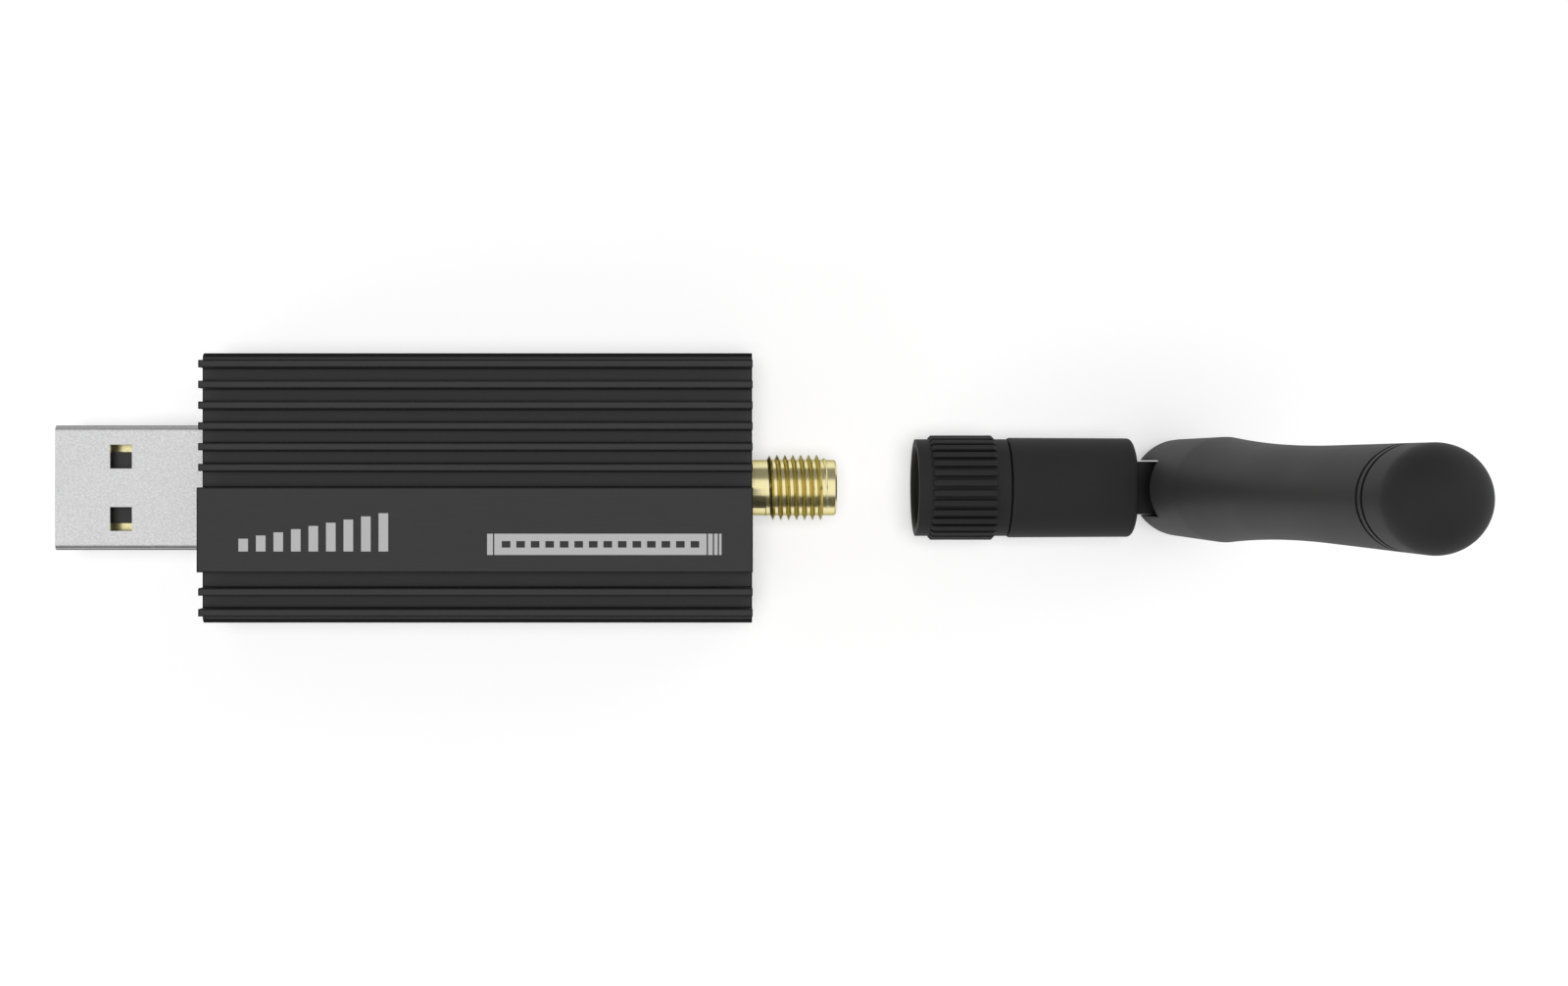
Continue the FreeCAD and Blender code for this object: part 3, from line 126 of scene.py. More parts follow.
class StickColours(PropertyGroup):
    """Colours of the finishes."""

    case: colour("Case", "Black anodised aluminium", 0.04, 0.04, 0.0402)
    # Painted shade: this deeper black stands in for the shade along the case's corners.
    case_corner_shade: colour("Case lines", "Deeper black along the case's corners", 0.0015, 0.0015, 0.0015)
    case_edge: colour("Case edges", "Aluminium where the black has rubbed thin", 0.12, 0.12, 0.122)
    plug: colour("Plug", "Nickel plated steel of the plug", 0.77, 0.77, 0.772)
    # Painted shade: a dark line that stands in for the shade along the plug's rounded corners.
    plug_corner_shade: colour("Plug lines", "Dark line along the plug's folded corners", 0.035, 0.035, 0.036)
    moulding: colour("Moulding", "Black plastic inside the plug", 0.05, 0.05, 0.05)
    gold: colour("Gold", "Pale gold plating of the socket", 1.0, 0.9, 0.5)
    # Painted shade: this dark colour stands in for the shade in the corners of the thread.
    metal_corner_shade: colour("Gold lines", "Painted shade in the corners of the gold thread", 0.07, 0.055, 0.022)
    brass: colour("Brass", "Plated brass inside the coupling", 0.8, 0.66, 0.36)
    plastic: colour("Plastic", "Black plastic of the aerial", 0.0225, 0.0225, 0.0227)
    plastic_edge: colour("Plastic edges", "Black plastic along rubbed edges", 0.035, 0.035, 0.036)
    # Painted shade: this deeper black stands in for the shade between the ribs.
    plastic_hollow_shade: colour("Plastic hollow shade", "Deeper black between the ribs", 0.003, 0.003, 0.003)
    ink: colour("Ink", "Light grey print on the band", 0.46, 0.46, 0.46)
    white: colour("White", "Waxy insulators", 0.8, 0.8, 0.77)
    steel: colour("Steel", "Screws, spring ring and hinge pins", 0.36, 0.36, 0.37)


class BoardColours(PropertyGroup):
    """Colours of the board, its parts and the leads."""

    mask: colour("Solder mask", "Green lacquer of the board", 0.012, 0.07, 0.035)
    tracks: colour("Tracks", "Lacquer over the copper tracks", 0.05, 0.16, 0.07)
    chip: colour("Chips", "Moulding of the chips", 0.02, 0.02, 0.021)
    chip_edge: colour("Chip edges", "Moulding along the chips' edges", 0.04, 0.04, 0.04)
    resistor: colour("Resistors", "Black glass of the resistors", 0.02, 0.02, 0.022)
    resistor_edge: colour("Resistor edges", "Edges of the resistors", 0.3, 0.3, 0.3)
    capacitor: colour("Capacitors", "Tan ceramic", 0.36, 0.24, 0.13)
    capacitor_edge: colour("Capacitor edges", "Edges of the ceramic", 0.5, 0.42, 0.3)
    ferrite: colour("Inductors", "Grey ferrite", 0.1, 0.1, 0.105)
    ferrite_edge: colour("Inductor edges", "Edges of the ferrite", 0.2, 0.2, 0.2)
    can: colour("Crystal cans", "Plated metal of the cans", 0.6, 0.58, 0.53)
    lens: colour("Lights", "Lenses of the status lights", 0.75, 0.78, 0.68)
    lens_edge: colour("Light edges", "Edges of the lenses", 0.9, 0.9, 0.85)
    lead: colour("Leads", "Brown sleeve of the thin leads", 0.12, 0.06, 0.03)
    lead_edge: colour("Lead edges", "Rubbed sleeve of the thin leads", 0.2, 0.12, 0.07)


class StickWearAndShade(PropertyGroup):
    """How much the surfaces vary, and how far and how strongly the painted shade lies."""

    edge_width: length("Edge width", "How far rubbed edges reach", 0.12 * MM)
    # Painted shade: how far the deeper black along the case's corners reaches.
    line_width: length("Line width", "How far the dark lines of the case reach", 0.26 * MM)
    # Painted shade: how near a wall makes the sleeve's hollows go dark.
    hollow_shade_reach: length("Hollow reach", "How near a wall makes the sleeve's hollows dark", 0.5 * MM)
    case_edge: share("Case wear", "Strength of the rubbed edges on the case", 0.1)
    # Painted shade: how strongly turned metal goes dark along its corners.
    metal_shade_strength: share("Metal corner shade strength", "Strength of the painted shade on turned metal", 0.85)
    plastic_edge: share("Plastic wear", "Strength of the rubbed edges on the plastic", 0.25)
    grain: share("Grain", "Strength of the fine surface grain", 0.5)


class ThreadSizes(PropertyGroup):
    """Sizes of the socket for the aerial."""

    neck: length("Neck", "Diameter of the plain neck", 5.36 * MM)
    crest: length("Crest", "Diameter over the thread", 6.35 * MM)
    pitch: length("Pitch", "Crest to crest", 0.77 * MM)
    turns: amount("Turns", "Turns of the thread, with its run-out", 7.7, least=1.0)
    nose: length("Nose", "Plain end beyond the thread", 0.91 * MM)
    ridge: share("Ridge", "Share of the pitch that a ridge takes at its foot", 0.6)
    run_out: share("Run-out", "Share of the pitch over which the thread grows and fades", 0.62)
    chamfer: length("Chamfer", "Slope at the front edge", 0.15 * MM)
    mouth: length("Mouth", "Diameter of the wide bore", 4.6 * MM)
    mouth_depth: length("Mouth depth", "Depth of the wide bore", 1.92 * MM)
    bore: length("Bore", "Diameter behind the wide bore", 4.1 * MM)
    flange: length("Flange", "Side of the square flange", 6.3 * MM)
    leg: length("Leg", "Side of a solder leg", 0.9 * MM)
    leg_side: length("Leg side", "Leg from the middle", 2.6 * MM)
    segments: whole("Segments", "Steps round the socket", 96, 24, 256)
    rows: whole("Rows", "Rows in one pitch", 24, 8, 48)


class MastSizes(PropertyGroup):
    """Sizes of the mast and its tip that the frame's boxes don't give."""

    kink: length("Kink", "Where the mast starts to narrow, above the hinge", 18.5 * MM)
    slim: length("Straight part", "Start of the straight part, above the hinge", 52.5 * MM)
    second_ring: length("Second ring", "Upper ring groove, above the hinge", 71.42 * MM)
    ring_width: length("Ring width", "Width of a ring groove", 0.46 * MM)
    ring_depth: length("Ring depth", "Depth of a ring groove", 0.3 * MM)
    bore: length("Bore", "Diameter inside the mast", 5.2 * MM)
    floor: length("Bore's floor", "Bottom of the bore, above the hinge", 12.5 * MM)
    channel: length("Channel", "Diameter of the channel for the lead", 1.5 * MM)
    spigot: length("Spigot", "Length of the tip inside the mast", 4.0 * MM)
    slot_width: length("Slot width", "Fork's slot for the tongue", 5.33 * MM)
    slot_radius: length("Slot radius", "Round back of the slot", 3.5 * MM)
    slot_back: length("Slot back", "Straight back of the slot, above the knuckle", 1.2 * MM)
    slot_ceiling: length("Slot ceiling", "Top of the slot, above the hinge", 8.2 * MM)
    row_space: length("Row space", "Largest space between two rows", 1.4 * MM)
    segments: whole("Segments", "Steps round the mast", 128, 24, 256)


class StageSizes(PropertyGroup):
    """Camera, lamps and floor."""

    camera_x: length("Camera X", "Camera's place along the stick", 20.36 * MM)
    camera_y: length("Camera Y", "Camera's place across the stick", 2.14 * MM)
    camera_height: length("Camera height", "Above the aerial's axis", 220 * MM)
    focal: amount("Focal length", "Lens in millimetres", 51.98, least=1.0)
    shift_x: amount("Shift X", "Sideways shift of the lens", 0.0594, least=-1.0)
    shift_y: amount("Shift Y", "Upward shift of the lens", -0.0175, least=-1.0)
    floor_size: length("Floor size", "Side of the floor", 3.0)
    floor: colour("Floor colour", "Pale floor", 0.7, 0.7, 0.7)
    floor_glow: amount("Floor glow", "Brings the seen floor to white", 0.36)
    sky: amount("Sky", "Even light from all round", 0.22)
    overhead: amount("Overhead", "Light of the overhead lamp", 0.64)
    overhead_spread: angle("Overhead spread", "Width of the overhead lamp in the sky", 24)
    side: amount("Sides", "Light of each lamp at the sides", 0.32)
    side_turn: angle("Side turn", "Turn of the side lamps about the upright", 40)
    side_rise: angle("Side rise", "Side lamps above the floor", 10)
    side_spread: angle("Side spread", "Width of a side lamp in the sky", 50)
    far_card: amount("Far card", "Grey level of the card behind", 0.27)
    near_card: amount("Near card", "Grey level of the card in front", 0.1)
    card_reach: length("Card distance", "Cards from the middle of the stage", 0.8)
    card_height: length("Card height", "Top edge of the cards", 1.15)
    card_spread: angle("Card spread", "Width of a card round the stage", 76)


# Node building

def at(node, place):
    """Puts a node at a column and a row of the node editor."""
    node.location = (place[0] * NODE_COLUMN, -place[1] * NODE_ROW)
    return node


def put(tree, kind, place, **values):
    """A node with its inputs set by name, where a spaced name has underscores."""
    node = at(tree.nodes.new(kind), place)
    for name, value in values.items():
        node.inputs[name.replace("_", " ")].default_value = value
    return node


def arithmetic(tree, operation, place, first, second=None, clamp=False):
    """A Math node; each of its inputs is a socket or a number."""
    node = put(tree, "ShaderNodeMath", place)
    node.operation = operation
    node.use_clamp = clamp
    for socket, value in zip(node.inputs, (first, second)):
        if isinstance(value, (int, float)):
            socket.default_value = value
        elif value is not None:
            tree.links.new(value, socket)
    return node.outputs[0]


def between_vectors(tree, operation, place, first, second):
    """A Vector Math node between two sockets."""
    node = put(tree, "ShaderNodeVectorMath", place)
    node.operation = operation
    tree.links.new(first, node.inputs[0])
    tree.links.new(second, node.inputs[1])
    return node.outputs


def blend_colours(tree, place, factor, first, second):
    """Mixes two colours; the factor is a socket, and each colour a socket or three numbers."""
    node = put(tree, "ShaderNodeMix", place)
    node.data_type = "RGBA"
    tree.links.new(factor, node.inputs["Factor"])
    for name, value in (("A", first), ("B", second)):
        socket = next(each for each in node.inputs if each.name == name and each.type == "RGBA")
        if isinstance(value, bpy.types.NodeSocket):
            tree.links.new(value, socket)
        else:
            socket.default_value = (*value, 1)
    return next(each for each in node.outputs if each.type == "RGBA")


def remap(tree, place, value, given=(0, 1), wanted=(0, 1)):
    """Turns the given span of a value into the wanted one, and keeps it within."""
    node = put(tree, "ShaderNodeMapRange", place)
    tree.links.new(value, node.inputs["Value"])
    for name, bound in zip(("From Min", "From Max", "To Min", "To Max"), given + wanted):
        node.inputs[name].default_value = bound
    return node.outputs["Result"]


def noise(tree, place, position, scale, detail, roughness=0.5):
    """Noise over a position, with its scale from a socket."""
    node = put(tree, "ShaderNodeTexNoise", place, Detail=detail, Roughness=roughness)
    tree.links.new(position, node.inputs["Vector"])
    tree.links.new(scale, node.inputs["Scale"])
    return node.outputs["Fac"]


def bump(tree, place, height, depth, strength, normal=None):
    """Relief from a height, over another normal if one is given."""
    node = put(tree, "ShaderNodeBump", place, Distance=depth, Strength=strength)
    tree.links.new(height, node.inputs["Height"])
    if normal is not None:
        tree.links.new(normal, node.inputs["Normal"])
    return node.outputs["Normal"]


# Shared effects

def new_group(name, inputs, outputs):
    """Shader node group with named sockets. An input is a name, its type and its default."""
    group = bpy.data.node_groups.new(name, "ShaderNodeTree")
    for label, kind, default in inputs:
        socket = group.interface.new_socket(label, in_out="INPUT", socket_type=f"NodeSocket{kind}")
        socket.default_value = default
    for label, kind in outputs:
        group.interface.new_socket(label, in_out="OUTPUT", socket_type=f"NodeSocket{kind}")
    start = put(group, "NodeGroupInput", (-5, 0))
    end = put(group, "NodeGroupOutput", (7, 0))
    return group, start.outputs, end.inputs


def edge_wear_and_shade_group():
    """Line: where a corner is near, which the case and the turned metal use for painted shade. Edge: the
    same in patches, for wear. Normal: with softened corners.
    """
    group, given, result = new_group(
        "Edge wear and shade",
        [("Width", "Float", 0.1 * MM), ("Strength", "Float", 4.0), ("Patch Scale", "Float", 900.0)],
        [("Line", "Float"), ("Edge", "Float"), ("Normal", "Vector")],
    )
    soft = put(group, "ShaderNodeBevel", (-2, 0))
    soft.samples = BEVEL_SAMPLES
    group.links.new(given["Width"], soft.inputs["Radius"])
    plain = put(group, "ShaderNodeNewGeometry", (-2, 2)).outputs["Normal"]
    match = between_vectors(group, "DOT_PRODUCT", (-1, 1), soft.outputs["Normal"], plain)
    turn = arithmetic(group, "SUBTRACT", (0, 1), 1.0, match["Value"])
    line = arithmetic(group, "MULTIPLY", (1, 1), turn, given["Strength"], clamp=True)
    where = put(group, "ShaderNodeTexCoord", (-2, 4))
    patches = noise(group, (-1, 4), where.outputs["Object"], given["Patch Scale"], detail=3.0)
    uneven = arithmetic(group, "MULTIPLY", (1, 4), patches, PATCH_GAIN, clamp=True)
    group.links.new(line, result["Line"])
    group.links.new(arithmetic(group, "MULTIPLY", (3, 1), line, uneven), result["Edge"])
    group.links.new(soft.outputs["Normal"], result["Normal"])
    return group


def rounded_corner_shade_group():
    """Mask for painted shade: the steep part of a rounding along X, from one share of its width to
    another.
    """
    group, given, result = new_group(
        "Rounded corner shade", [("Start", "Float", 0.4), ("End", "Float", 0.6)], [("Mask", "Float")]
    )
    where = put(group, "ShaderNodeTexCoord", (-4, 0))
    facing = put(group, "ShaderNodeSeparateXYZ", (-3, 0))
    group.links.new(where.outputs["Normal"], facing.inputs["Vector"])
    steep = remap(group, (1, 0), arithmetic(group, "ABSOLUTE", (0, 0), facing.outputs["Y"]))
    group.links.new(given["Start"], steep.node.inputs["From Min"])
    group.links.new(given["End"], steep.node.inputs["From Max"])
    height = arithmetic(group, "ABSOLUTE", (0, 2), facing.outputs["Z"])
    off_upright = remap(group, (1, 2), height, given=NEAR_UPRIGHT)
    group.links.new(arithmetic(group, "MINIMUM", (3, 0), steep, off_upright), result["Mask"])
    return group


def fine_grain_group():
    """Grain: small even texture. Cloud: slow change over the surface. Stretch draws both out along X."""
    group, given, result = new_group(
        "Fine grain",
        [("Scale", "Float", 9000.0), ("Stretch", "Float", 1.0), ("Cloud Scale", "Float", 120.0)],
        [("Grain", "Float"), ("Cloud", "Float")],
    )
    where = put(group, "ShaderNodeTexCoord", (-3, 0))
    shape = put(group, "ShaderNodeCombineXYZ", (-3, 2), Y=1.0, Z=1.0)
    group.links.new(given["Stretch"], shape.inputs["X"])
    drawn = between_vectors(group, "MULTIPLY", (-2, 1), where.outputs["Object"], shape.outputs["Vector"])
    for row, scale, detail, label in ((0, "Scale", 4.0, "Grain"), (2, "Cloud Scale", 2.0, "Cloud")):
        value = noise(group, (0, row), drawn["Vector"], given[scale], detail, roughness=0.6)
        group.links.new(value, result[label])
    return group


def turning_marks_group():
    """Rings left by the lathe on pieces turned about the aerial's axis."""
    group, given, result = new_group(
        "Turning marks",
        [("Scale", "Float", 12000.0), ("Height", "Float", AXIS_HEIGHT)],
        [("Rings", "Float")],
    )
    where = put(group, "ShaderNodeTexCoord", (-4, 0))
    parts = put(group, "ShaderNodeSeparateXYZ", (-3, 0))
    group.links.new(where.outputs["Object"], parts.inputs["Vector"])
    rise = arithmetic(group, "SUBTRACT", (-2, 2), parts.outputs["Z"], given["Height"])
    square_rise = arithmetic(group, "MULTIPLY", (-1, 2), rise, rise)
    square_side = arithmetic(group, "MULTIPLY", (-1, 1), parts.outputs["Y"], parts.outputs["Y"])
    radius = arithmetic(group, "SQRT", (1, 1), arithmetic(group, "ADD", (0, 1), square_rise, square_side))
    place = put(group, "ShaderNodeCombineXYZ", (2, 0))
    group.links.new(parts.outputs["X"], place.inputs["X"])
    group.links.new(radius, place.inputs["Y"])
    rings = noise(group, (3, 0), place.outputs["Vector"], given["Scale"], detail=2.0, roughness=0.7)
    group.links.new(rings, result["Rings"])
    return group


def use_group(tree, name, maker, place, values):
    """A shared group with its own values, built when it is first asked for."""
    node = at(tree.nodes.new("ShaderNodeGroup"), place)
    node.node_tree = bpy.data.node_groups.get(name) or maker()
    for label, value in values.items():
        node.inputs[label].default_value = value
    return node.outputs


def edges_in(tree, place, width, strength, patches):
    """Edge wear and its corner line for painted shade: the reach, the strength and the scale of the
    patches.
    """
    values = {"Width": width, "Strength": strength, "Patch Scale": patches}
    return use_group(tree, "Edge wear and shade", edge_wear_and_shade_group, place, values)


def corner_shade_in(tree, place, start, end):
    """Painted shade along rounded corners, from one share of their width to another."""
    return use_group(tree, "Rounded corner shade", rounded_corner_shade_group, place, {"Start": start, "End": end})


def grain_in(tree, place, fine, cloud, stretch=1.0):
    """Fine grain: the scales of its grain and of its cloud."""
    values = {"Scale": fine, "Stretch": stretch, "Cloud Scale": cloud}
    return use_group(tree, "Fine grain", fine_grain_group, place, values)


# Finishes

def new_material(name):
    """Material with a Principled shader, and that shader."""
    material = bpy.data.materials.new(name)
    material.use_nodes = True
    return material, material.node_tree, material.node_tree.nodes["Principled BSDF"]


def scaled(base, factor):
    """A colour made darker or lighter."""
    return tuple(min(channel * factor, 1) for channel in base)


def finish(tree, shader, surface, roughness, normal):
    """Gives the shader what changes over the surface."""
    tree.links.new(surface, shader.inputs["Base Color"])
    tree.links.new(roughness, shader.inputs["Roughness"])
    tree.links.new(normal, shader.inputs["Normal"])


def extruded_black(name, look, wear):
    """Black anodised aluminium, drawn along X: painted shade as deeper black along its corners, and a
    little rubbed there.
    """
    material, tree, shader = new_material(name)
    edges = edges_in(tree, (-5, 0), wear.edge_width, strength=3.0, patches=700.0)
    corners = edges_in(tree, (-5, -2), wear.line_width, strength=14.0, patches=700.0)
    rounded = corner_shade_in(tree, (-5, -4), start=0.38, end=0.64)
    grain = grain_in(tree, (-5, 3), fine=9000.0, cloud=90.0, stretch=0.05)
    sand = grain_in(tree, (-5, 5), fine=16000.0, cloud=160.0)
    body = blend_colours(tree, (-3, 2), grain["Grain"], look.case, scaled(look.case, 1.22))
    # Painted shade: the case's corners and the steep part of its rounded edges go deeper black.
    dark = arithmetic(tree, "MAXIMUM", (-3, -3), corners["Line"], rounded["Mask"])
    corner_shaded = blend_colours(tree, (-2, 0), dark, body, look.case_corner_shade)
    rubbed = arithmetic(tree, "MULTIPLY", (-3, 0), edges["Edge"], wear.case_edge)
    surface = blend_colours(tree, (-1, 1), rubbed, corner_shaded, look.case_edge)
    roughness = remap(tree, (-2, 4), sand["Cloud"], wanted=(0.5, 0.62))
    drawn = bump(tree, (-3, 5), grain["Grain"], depth=0.01 * MM, strength=0.25, normal=edges["Normal"])
    relief = bump(tree, (-2, 6), sand["Grain"], depth=0.012 * MM, strength=wear.grain, normal=drawn)
    finish(tree, shader, surface, roughness, relief)
    shader.inputs["Specular IOR Level"].default_value = BLACK_METAL_SHINE
    return material


def plated_steel(name, base, rough, wear, line=None):
    """Bright plated sheet with an even grain and, if given, a painted shade line along rounded corners."""
    material, tree, shader = new_material(name)
    edges = edges_in(tree, (-5, 0), wear.edge_width * 0.5, strength=2.0, patches=900.0)
    grain = grain_in(tree, (-5, 3), fine=5200.0, cloud=200.0)
    mottle = remap(tree, (-4, 2), grain["Grain"], given=(0.34, 0.66))
    body = blend_colours(tree, (-3, 2), mottle, scaled(base, 0.78), base)
    surface = blend_colours(tree, (-2, 1), edges["Edge"], body, scaled(base, 1.15))
    if line is not None:
        # Painted shade: a dark line where the rounded corners turn steep.
        rounded = corner_shade_in(tree, (-5, -3), start=0.75, end=0.85)
        surface = blend_colours(tree, (-1, 1), rounded["Mask"], surface, line)
    roughness = remap(tree, (-2, 4), grain["Cloud"], wanted=(rough - 0.05, rough + 0.05))
    relief = bump(tree, (-2, 6), grain["Grain"], 0.012 * MM, wear.grain, edges["Normal"])
    finish(tree, shader, surface, roughness, relief)
    shader.inputs["Metallic"].default_value = 1.0
    return material


def turned_metal(name, base, shade_colour, rough, wear):
    """Plated metal from the lathe, with fine rings and painted shade along its corners."""
    material, tree, shader = new_material(name)
    edges = edges_in(tree, (-5, 0), wear.edge_width * 0.4, strength=2.0, patches=900.0)
    corners = edges_in(tree, (-5, -2), wear.edge_width, strength=6.0, patches=900.0)
    rings = use_group(tree, "Turning marks", turning_marks_group, (-5, 3), {})["Rings"]
    grain = grain_in(tree, (-5, 5), fine=12000.0, cloud=260.0)
    body = blend_colours(tree, (-3, 2), grain["Cloud"], scaled(base, 0.85), base)
    # Painted shade: the corners of the thread and of the turned parts go dark.
    shade_share = arithmetic(tree, "MULTIPLY", (-3, 0), corners["Line"], wear.metal_shade_strength)
    surface = blend_colours(tree, (-1, 1), shade_share, body, shade_colour)
    roughness = remap(tree, (-2, 4), rings, wanted=(rough - 0.04, rough + 0.08))
    relief = bump(tree, (-2, 6), rings, depth=0.004 * MM, strength=0.5, normal=edges["Normal"])
    finish(tree, shader, surface, roughness, relief)
    shader.inputs["Metallic"].default_value = 1.0
    shader.inputs["Specular Tint"].default_value = (*scaled(base, GRAZING_TINT), 1)
    return material


def satin_plastic(name, base, worn, rough, wear, level=SATIN_SHINE, hollow_shade=None):
    """Moulded plastic, satin, with corners rubbed lighter and, if given, painted shade deep in its
    grooves.
    """
    material, tree, shader = new_material(name)
    edges = edges_in(tree, (-5, 0), wear.edge_width, strength=2.5, patches=600.0)
    grain = grain_in(tree, (-5, 3), fine=11000.0, cloud=110.0)
    body = blend_colours(tree, (-3, 2), grain["Cloud"], base, scaled(base, 1.3))
    if hollow_shade is not None:
        # Painted shade: ambient occlusion turns the ribs' hollows deeper black.
        open_sky = put(tree, "ShaderNodeAmbientOcclusion", (-6, 1), Distance=wear.hollow_shade_reach)
        open_sky.samples = HOLLOW_SHADE_SAMPLES
        open_sky.only_local = True
        shallow = remap(tree, (-5, 1), open_sky.outputs["AO"], given=(0.35, 0.65))
        body = blend_colours(tree, (-2, 2), shallow, hollow_shade, body)
    rubbed = arithmetic(tree, "MULTIPLY", (-3, 0), edges["Edge"], wear.plastic_edge)
    surface = blend_colours(tree, (-1, 1), rubbed, body, worn)
    roughness = remap(tree, (-2, 4), grain["Cloud"], wanted=(rough - 0.05, rough + 0.06))
    relief = bump(tree, (-2, 6), grain["Grain"], 0.01 * MM, wear.grain * 0.6, edges["Normal"])
    finish(tree, shader, surface, roughness, relief)
    shader.inputs["Specular IOR Level"].default_value = level
    return material


def board_lacquer(name, mask, copper):
    """Green solder mask over copper tracks that show as a faint relief."""
    material, tree, shader = new_material(name)
    where = put(tree, "ShaderNodeTexCoord", (-6, 0))
    bricks = put(tree, "ShaderNodeTexBrick", (-5, 0), Scale=900.0, Mortar_Size=0.06)
    tree.links.new(where.outputs["Object"], bricks.inputs["Vector"])
    tracks = bricks.outputs["Fac"]
    grain = grain_in(tree, (-5, 3), fine=5000.0, cloud=150.0)
    faint = arithmetic(tree, "MULTIPLY", (-3, 1), tracks, 0.5)
    surface = blend_colours(tree, (-1, 1), faint, mask, copper)
    roughness = remap(tree, (-2, 4), grain["Cloud"], wanted=(0.25, 0.4))
    finish(tree, shader, surface, roughness, bump(tree, (-2, 6), tracks, depth=0.02 * MM, strength=0.4))
    return material


def screen_ink(name, base):
    """Printed ink: even, with tiny pinholes and a slightly raised grain."""
    material, tree, shader = new_material(name)
    grain = grain_in(tree, (-5, 3), fine=14000.0, cloud=700.0)
    pinholes = arithmetic(tree, "GREATER_THAN", (-4, 1), grain["Grain"], 0.72)
    faint = arithmetic(tree, "MULTIPLY", (-3, 1), pinholes, 0.4)
    surface = blend_colours(tree, (-1, 1), faint, base, scaled(base, 0.55))
    roughness = remap(tree, (-2, 4), grain["Cloud"], wanted=(0.5, 0.65))
    relief = bump(tree, (-2, 6), grain["Grain"], depth=0.008 * MM, strength=0.5)
    finish(tree, shader, surface, roughness, relief)
    return material


def dress(material, *nodes):
    """Gives CAD nodes a finish."""
    for name in nodes:
        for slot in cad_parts[name].material_slots:
            slot.material = material


# Mesh building

def circle(reach, turns):
    """Points of a circle, as pairs."""
    return [(reach * math.cos(turn), reach * math.sin(turn)) for turn in turns]


def ring_at(x, outline):
    """An outline round the aerial's axis, at a place along it."""
    return [(x, y, AXIS_HEIGHT + z) for y, z in outline]


def arc_rows(centre, reach, start, end, steps):
    """Points on an arc as pairs, from one angle to another."""
    turns = [start + (end - start) * step / steps for step in range(steps + 1)]
    return [(centre[0] + reach * math.cos(turn), centre[1] + reach * math.sin(turn)) for turn in turns]


def close_rows(corners, space):
    """The same outline with rows added where two lie further apart than the space."""
    rows = []
    for start, end in zip(corners, corners[1:]):
        steps = max(1, math.ceil(math.dist(start, end) / space))
        for step in range(steps):
            part = step / steps
            rows.append((start[0] + (end[0] - start[0]) * part, start[1] + (end[1] - start[1]) * part))
    return rows + corners[-1:]


def add_rows(work, rows, closed=True):
    """Surface through rows of equal point count; a closed row joins its ends."""
    loops = [[work.verts.new(point) for point in row] for row in rows]
    count = len(loops[0])
    for loop, following in zip(loops, loops[1:]):
        for step in range(count if closed else count - 1):
            after = (step + 1) % count
            face = work.faces.new((loop[step], loop[after], following[after], following[step]))
            face.smooth = True


def add_block(work, low, high):
    """Block between two corners."""
    corners = [work.verts.new(place) for place in itertools.product(*zip(low, high))]
    for face in ((0, 1, 3, 2), (4, 6, 7, 5), (0, 4, 5, 1), (2, 3, 7, 6), (0, 2, 6, 4), (1, 5, 7, 3)):
        work.faces.new([corners[index] for index in face])


def side_prism(work, outline, half_width):
    """Block with an outline in X and Z, as far to each side of the middle."""
    ends = [[work.verts.new((x, side, z)) for x, z in outline] for side in (-half_width, half_width)]
    work.faces.new(ends[0])
    work.faces.new(ends[1])
    count = len(outline)
    for index in range(count):
        after = (index + 1) % count
        work.faces.new((ends[0][index], ends[0][after], ends[1][after], ends[1][index]))


def build_mesh(name, maker, sizes):
    """Mesh that a maker fills, with its faces turned outwards."""
    mesh = bpy.data.meshes.new(name)
    work = bmesh.new()
    maker(work, sizes)
    bmesh.ops.recalc_face_normals(work, faces=work.faces)
    work.to_mesh(mesh)
    work.free()
    return mesh


def add_object(name, data):
    """Object in the scene that shows a mesh, a lamp or a camera."""
    added = bpy.data.objects.new(name, data)
    bpy.context.scene.collection.objects.link(added)
    return added


def new_piece(name, maker, sizes, body, material):
    """A mesh of the scene's own, on a CAD body."""
    mesh = build_mesh(name, maker, sizes)
    mesh.set_sharp_from_angle(angle=SHARP)
    mesh.materials.append(material)
    piece = add_object(name, mesh)
    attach(piece, body)
    return piece


# Threaded socket

def ridge_height(phase, foot):
    """Height of the thread at a phase from 0 to 1: a narrow ridge at 0.5, with a flat root."""
    return min(1.0, CREST_GAIN * max(0.0, 1 - abs(phase - 0.5) * 2 / foot))


def helix_rows(sizes, start, end, turns):
    """Rows of points that follow the thread, so that its edges are clean. They meet the plain ends."""
    depth = (sizes.crest - sizes.neck) / 2
    run = sizes.run_out * sizes.pitch
    rows = []
    for row in range(-sizes.rows, math.ceil(sizes.turns * sizes.rows) + 1):
        height = depth * ridge_height(row / sizes.rows % 1, sizes.ridge)
        points = []
        for turn in turns + [math.tau]:
            x = start + (row / sizes.rows + turn / math.tau) * sizes.pitch
            x = min(max(x, start), end)
            fade = max(0.0, min(1.0, (x - start) / run, (end - x) / run))
            reach = sizes.neck / 2 + height * fade
            points.append((x, reach * math.cos(turn), AXIS_HEIGHT + reach * math.sin(turn)))
        rows.append(points)
    return rows


def socket_ends(sizes, back, front, thread_start, thread_end):
    """Plain parts as (x, radius): from the thread to the bore's back, and behind the thread."""
    neck = sizes.neck / 2
    face = front - sizes.mouth_depth
    ahead = [
        (thread_end, neck),
        (front - sizes.chamfer, neck),
        (front, neck - sizes.chamfer),
        (front, sizes.mouth / 2),
        (face, sizes.mouth / 2),
        (face, sizes.bore / 2),
        (back, sizes.bore / 2),
    ]
    behind = [(back, sizes.bore / 2), (back, neck), (thread_start, neck)]
    return ahead, behind


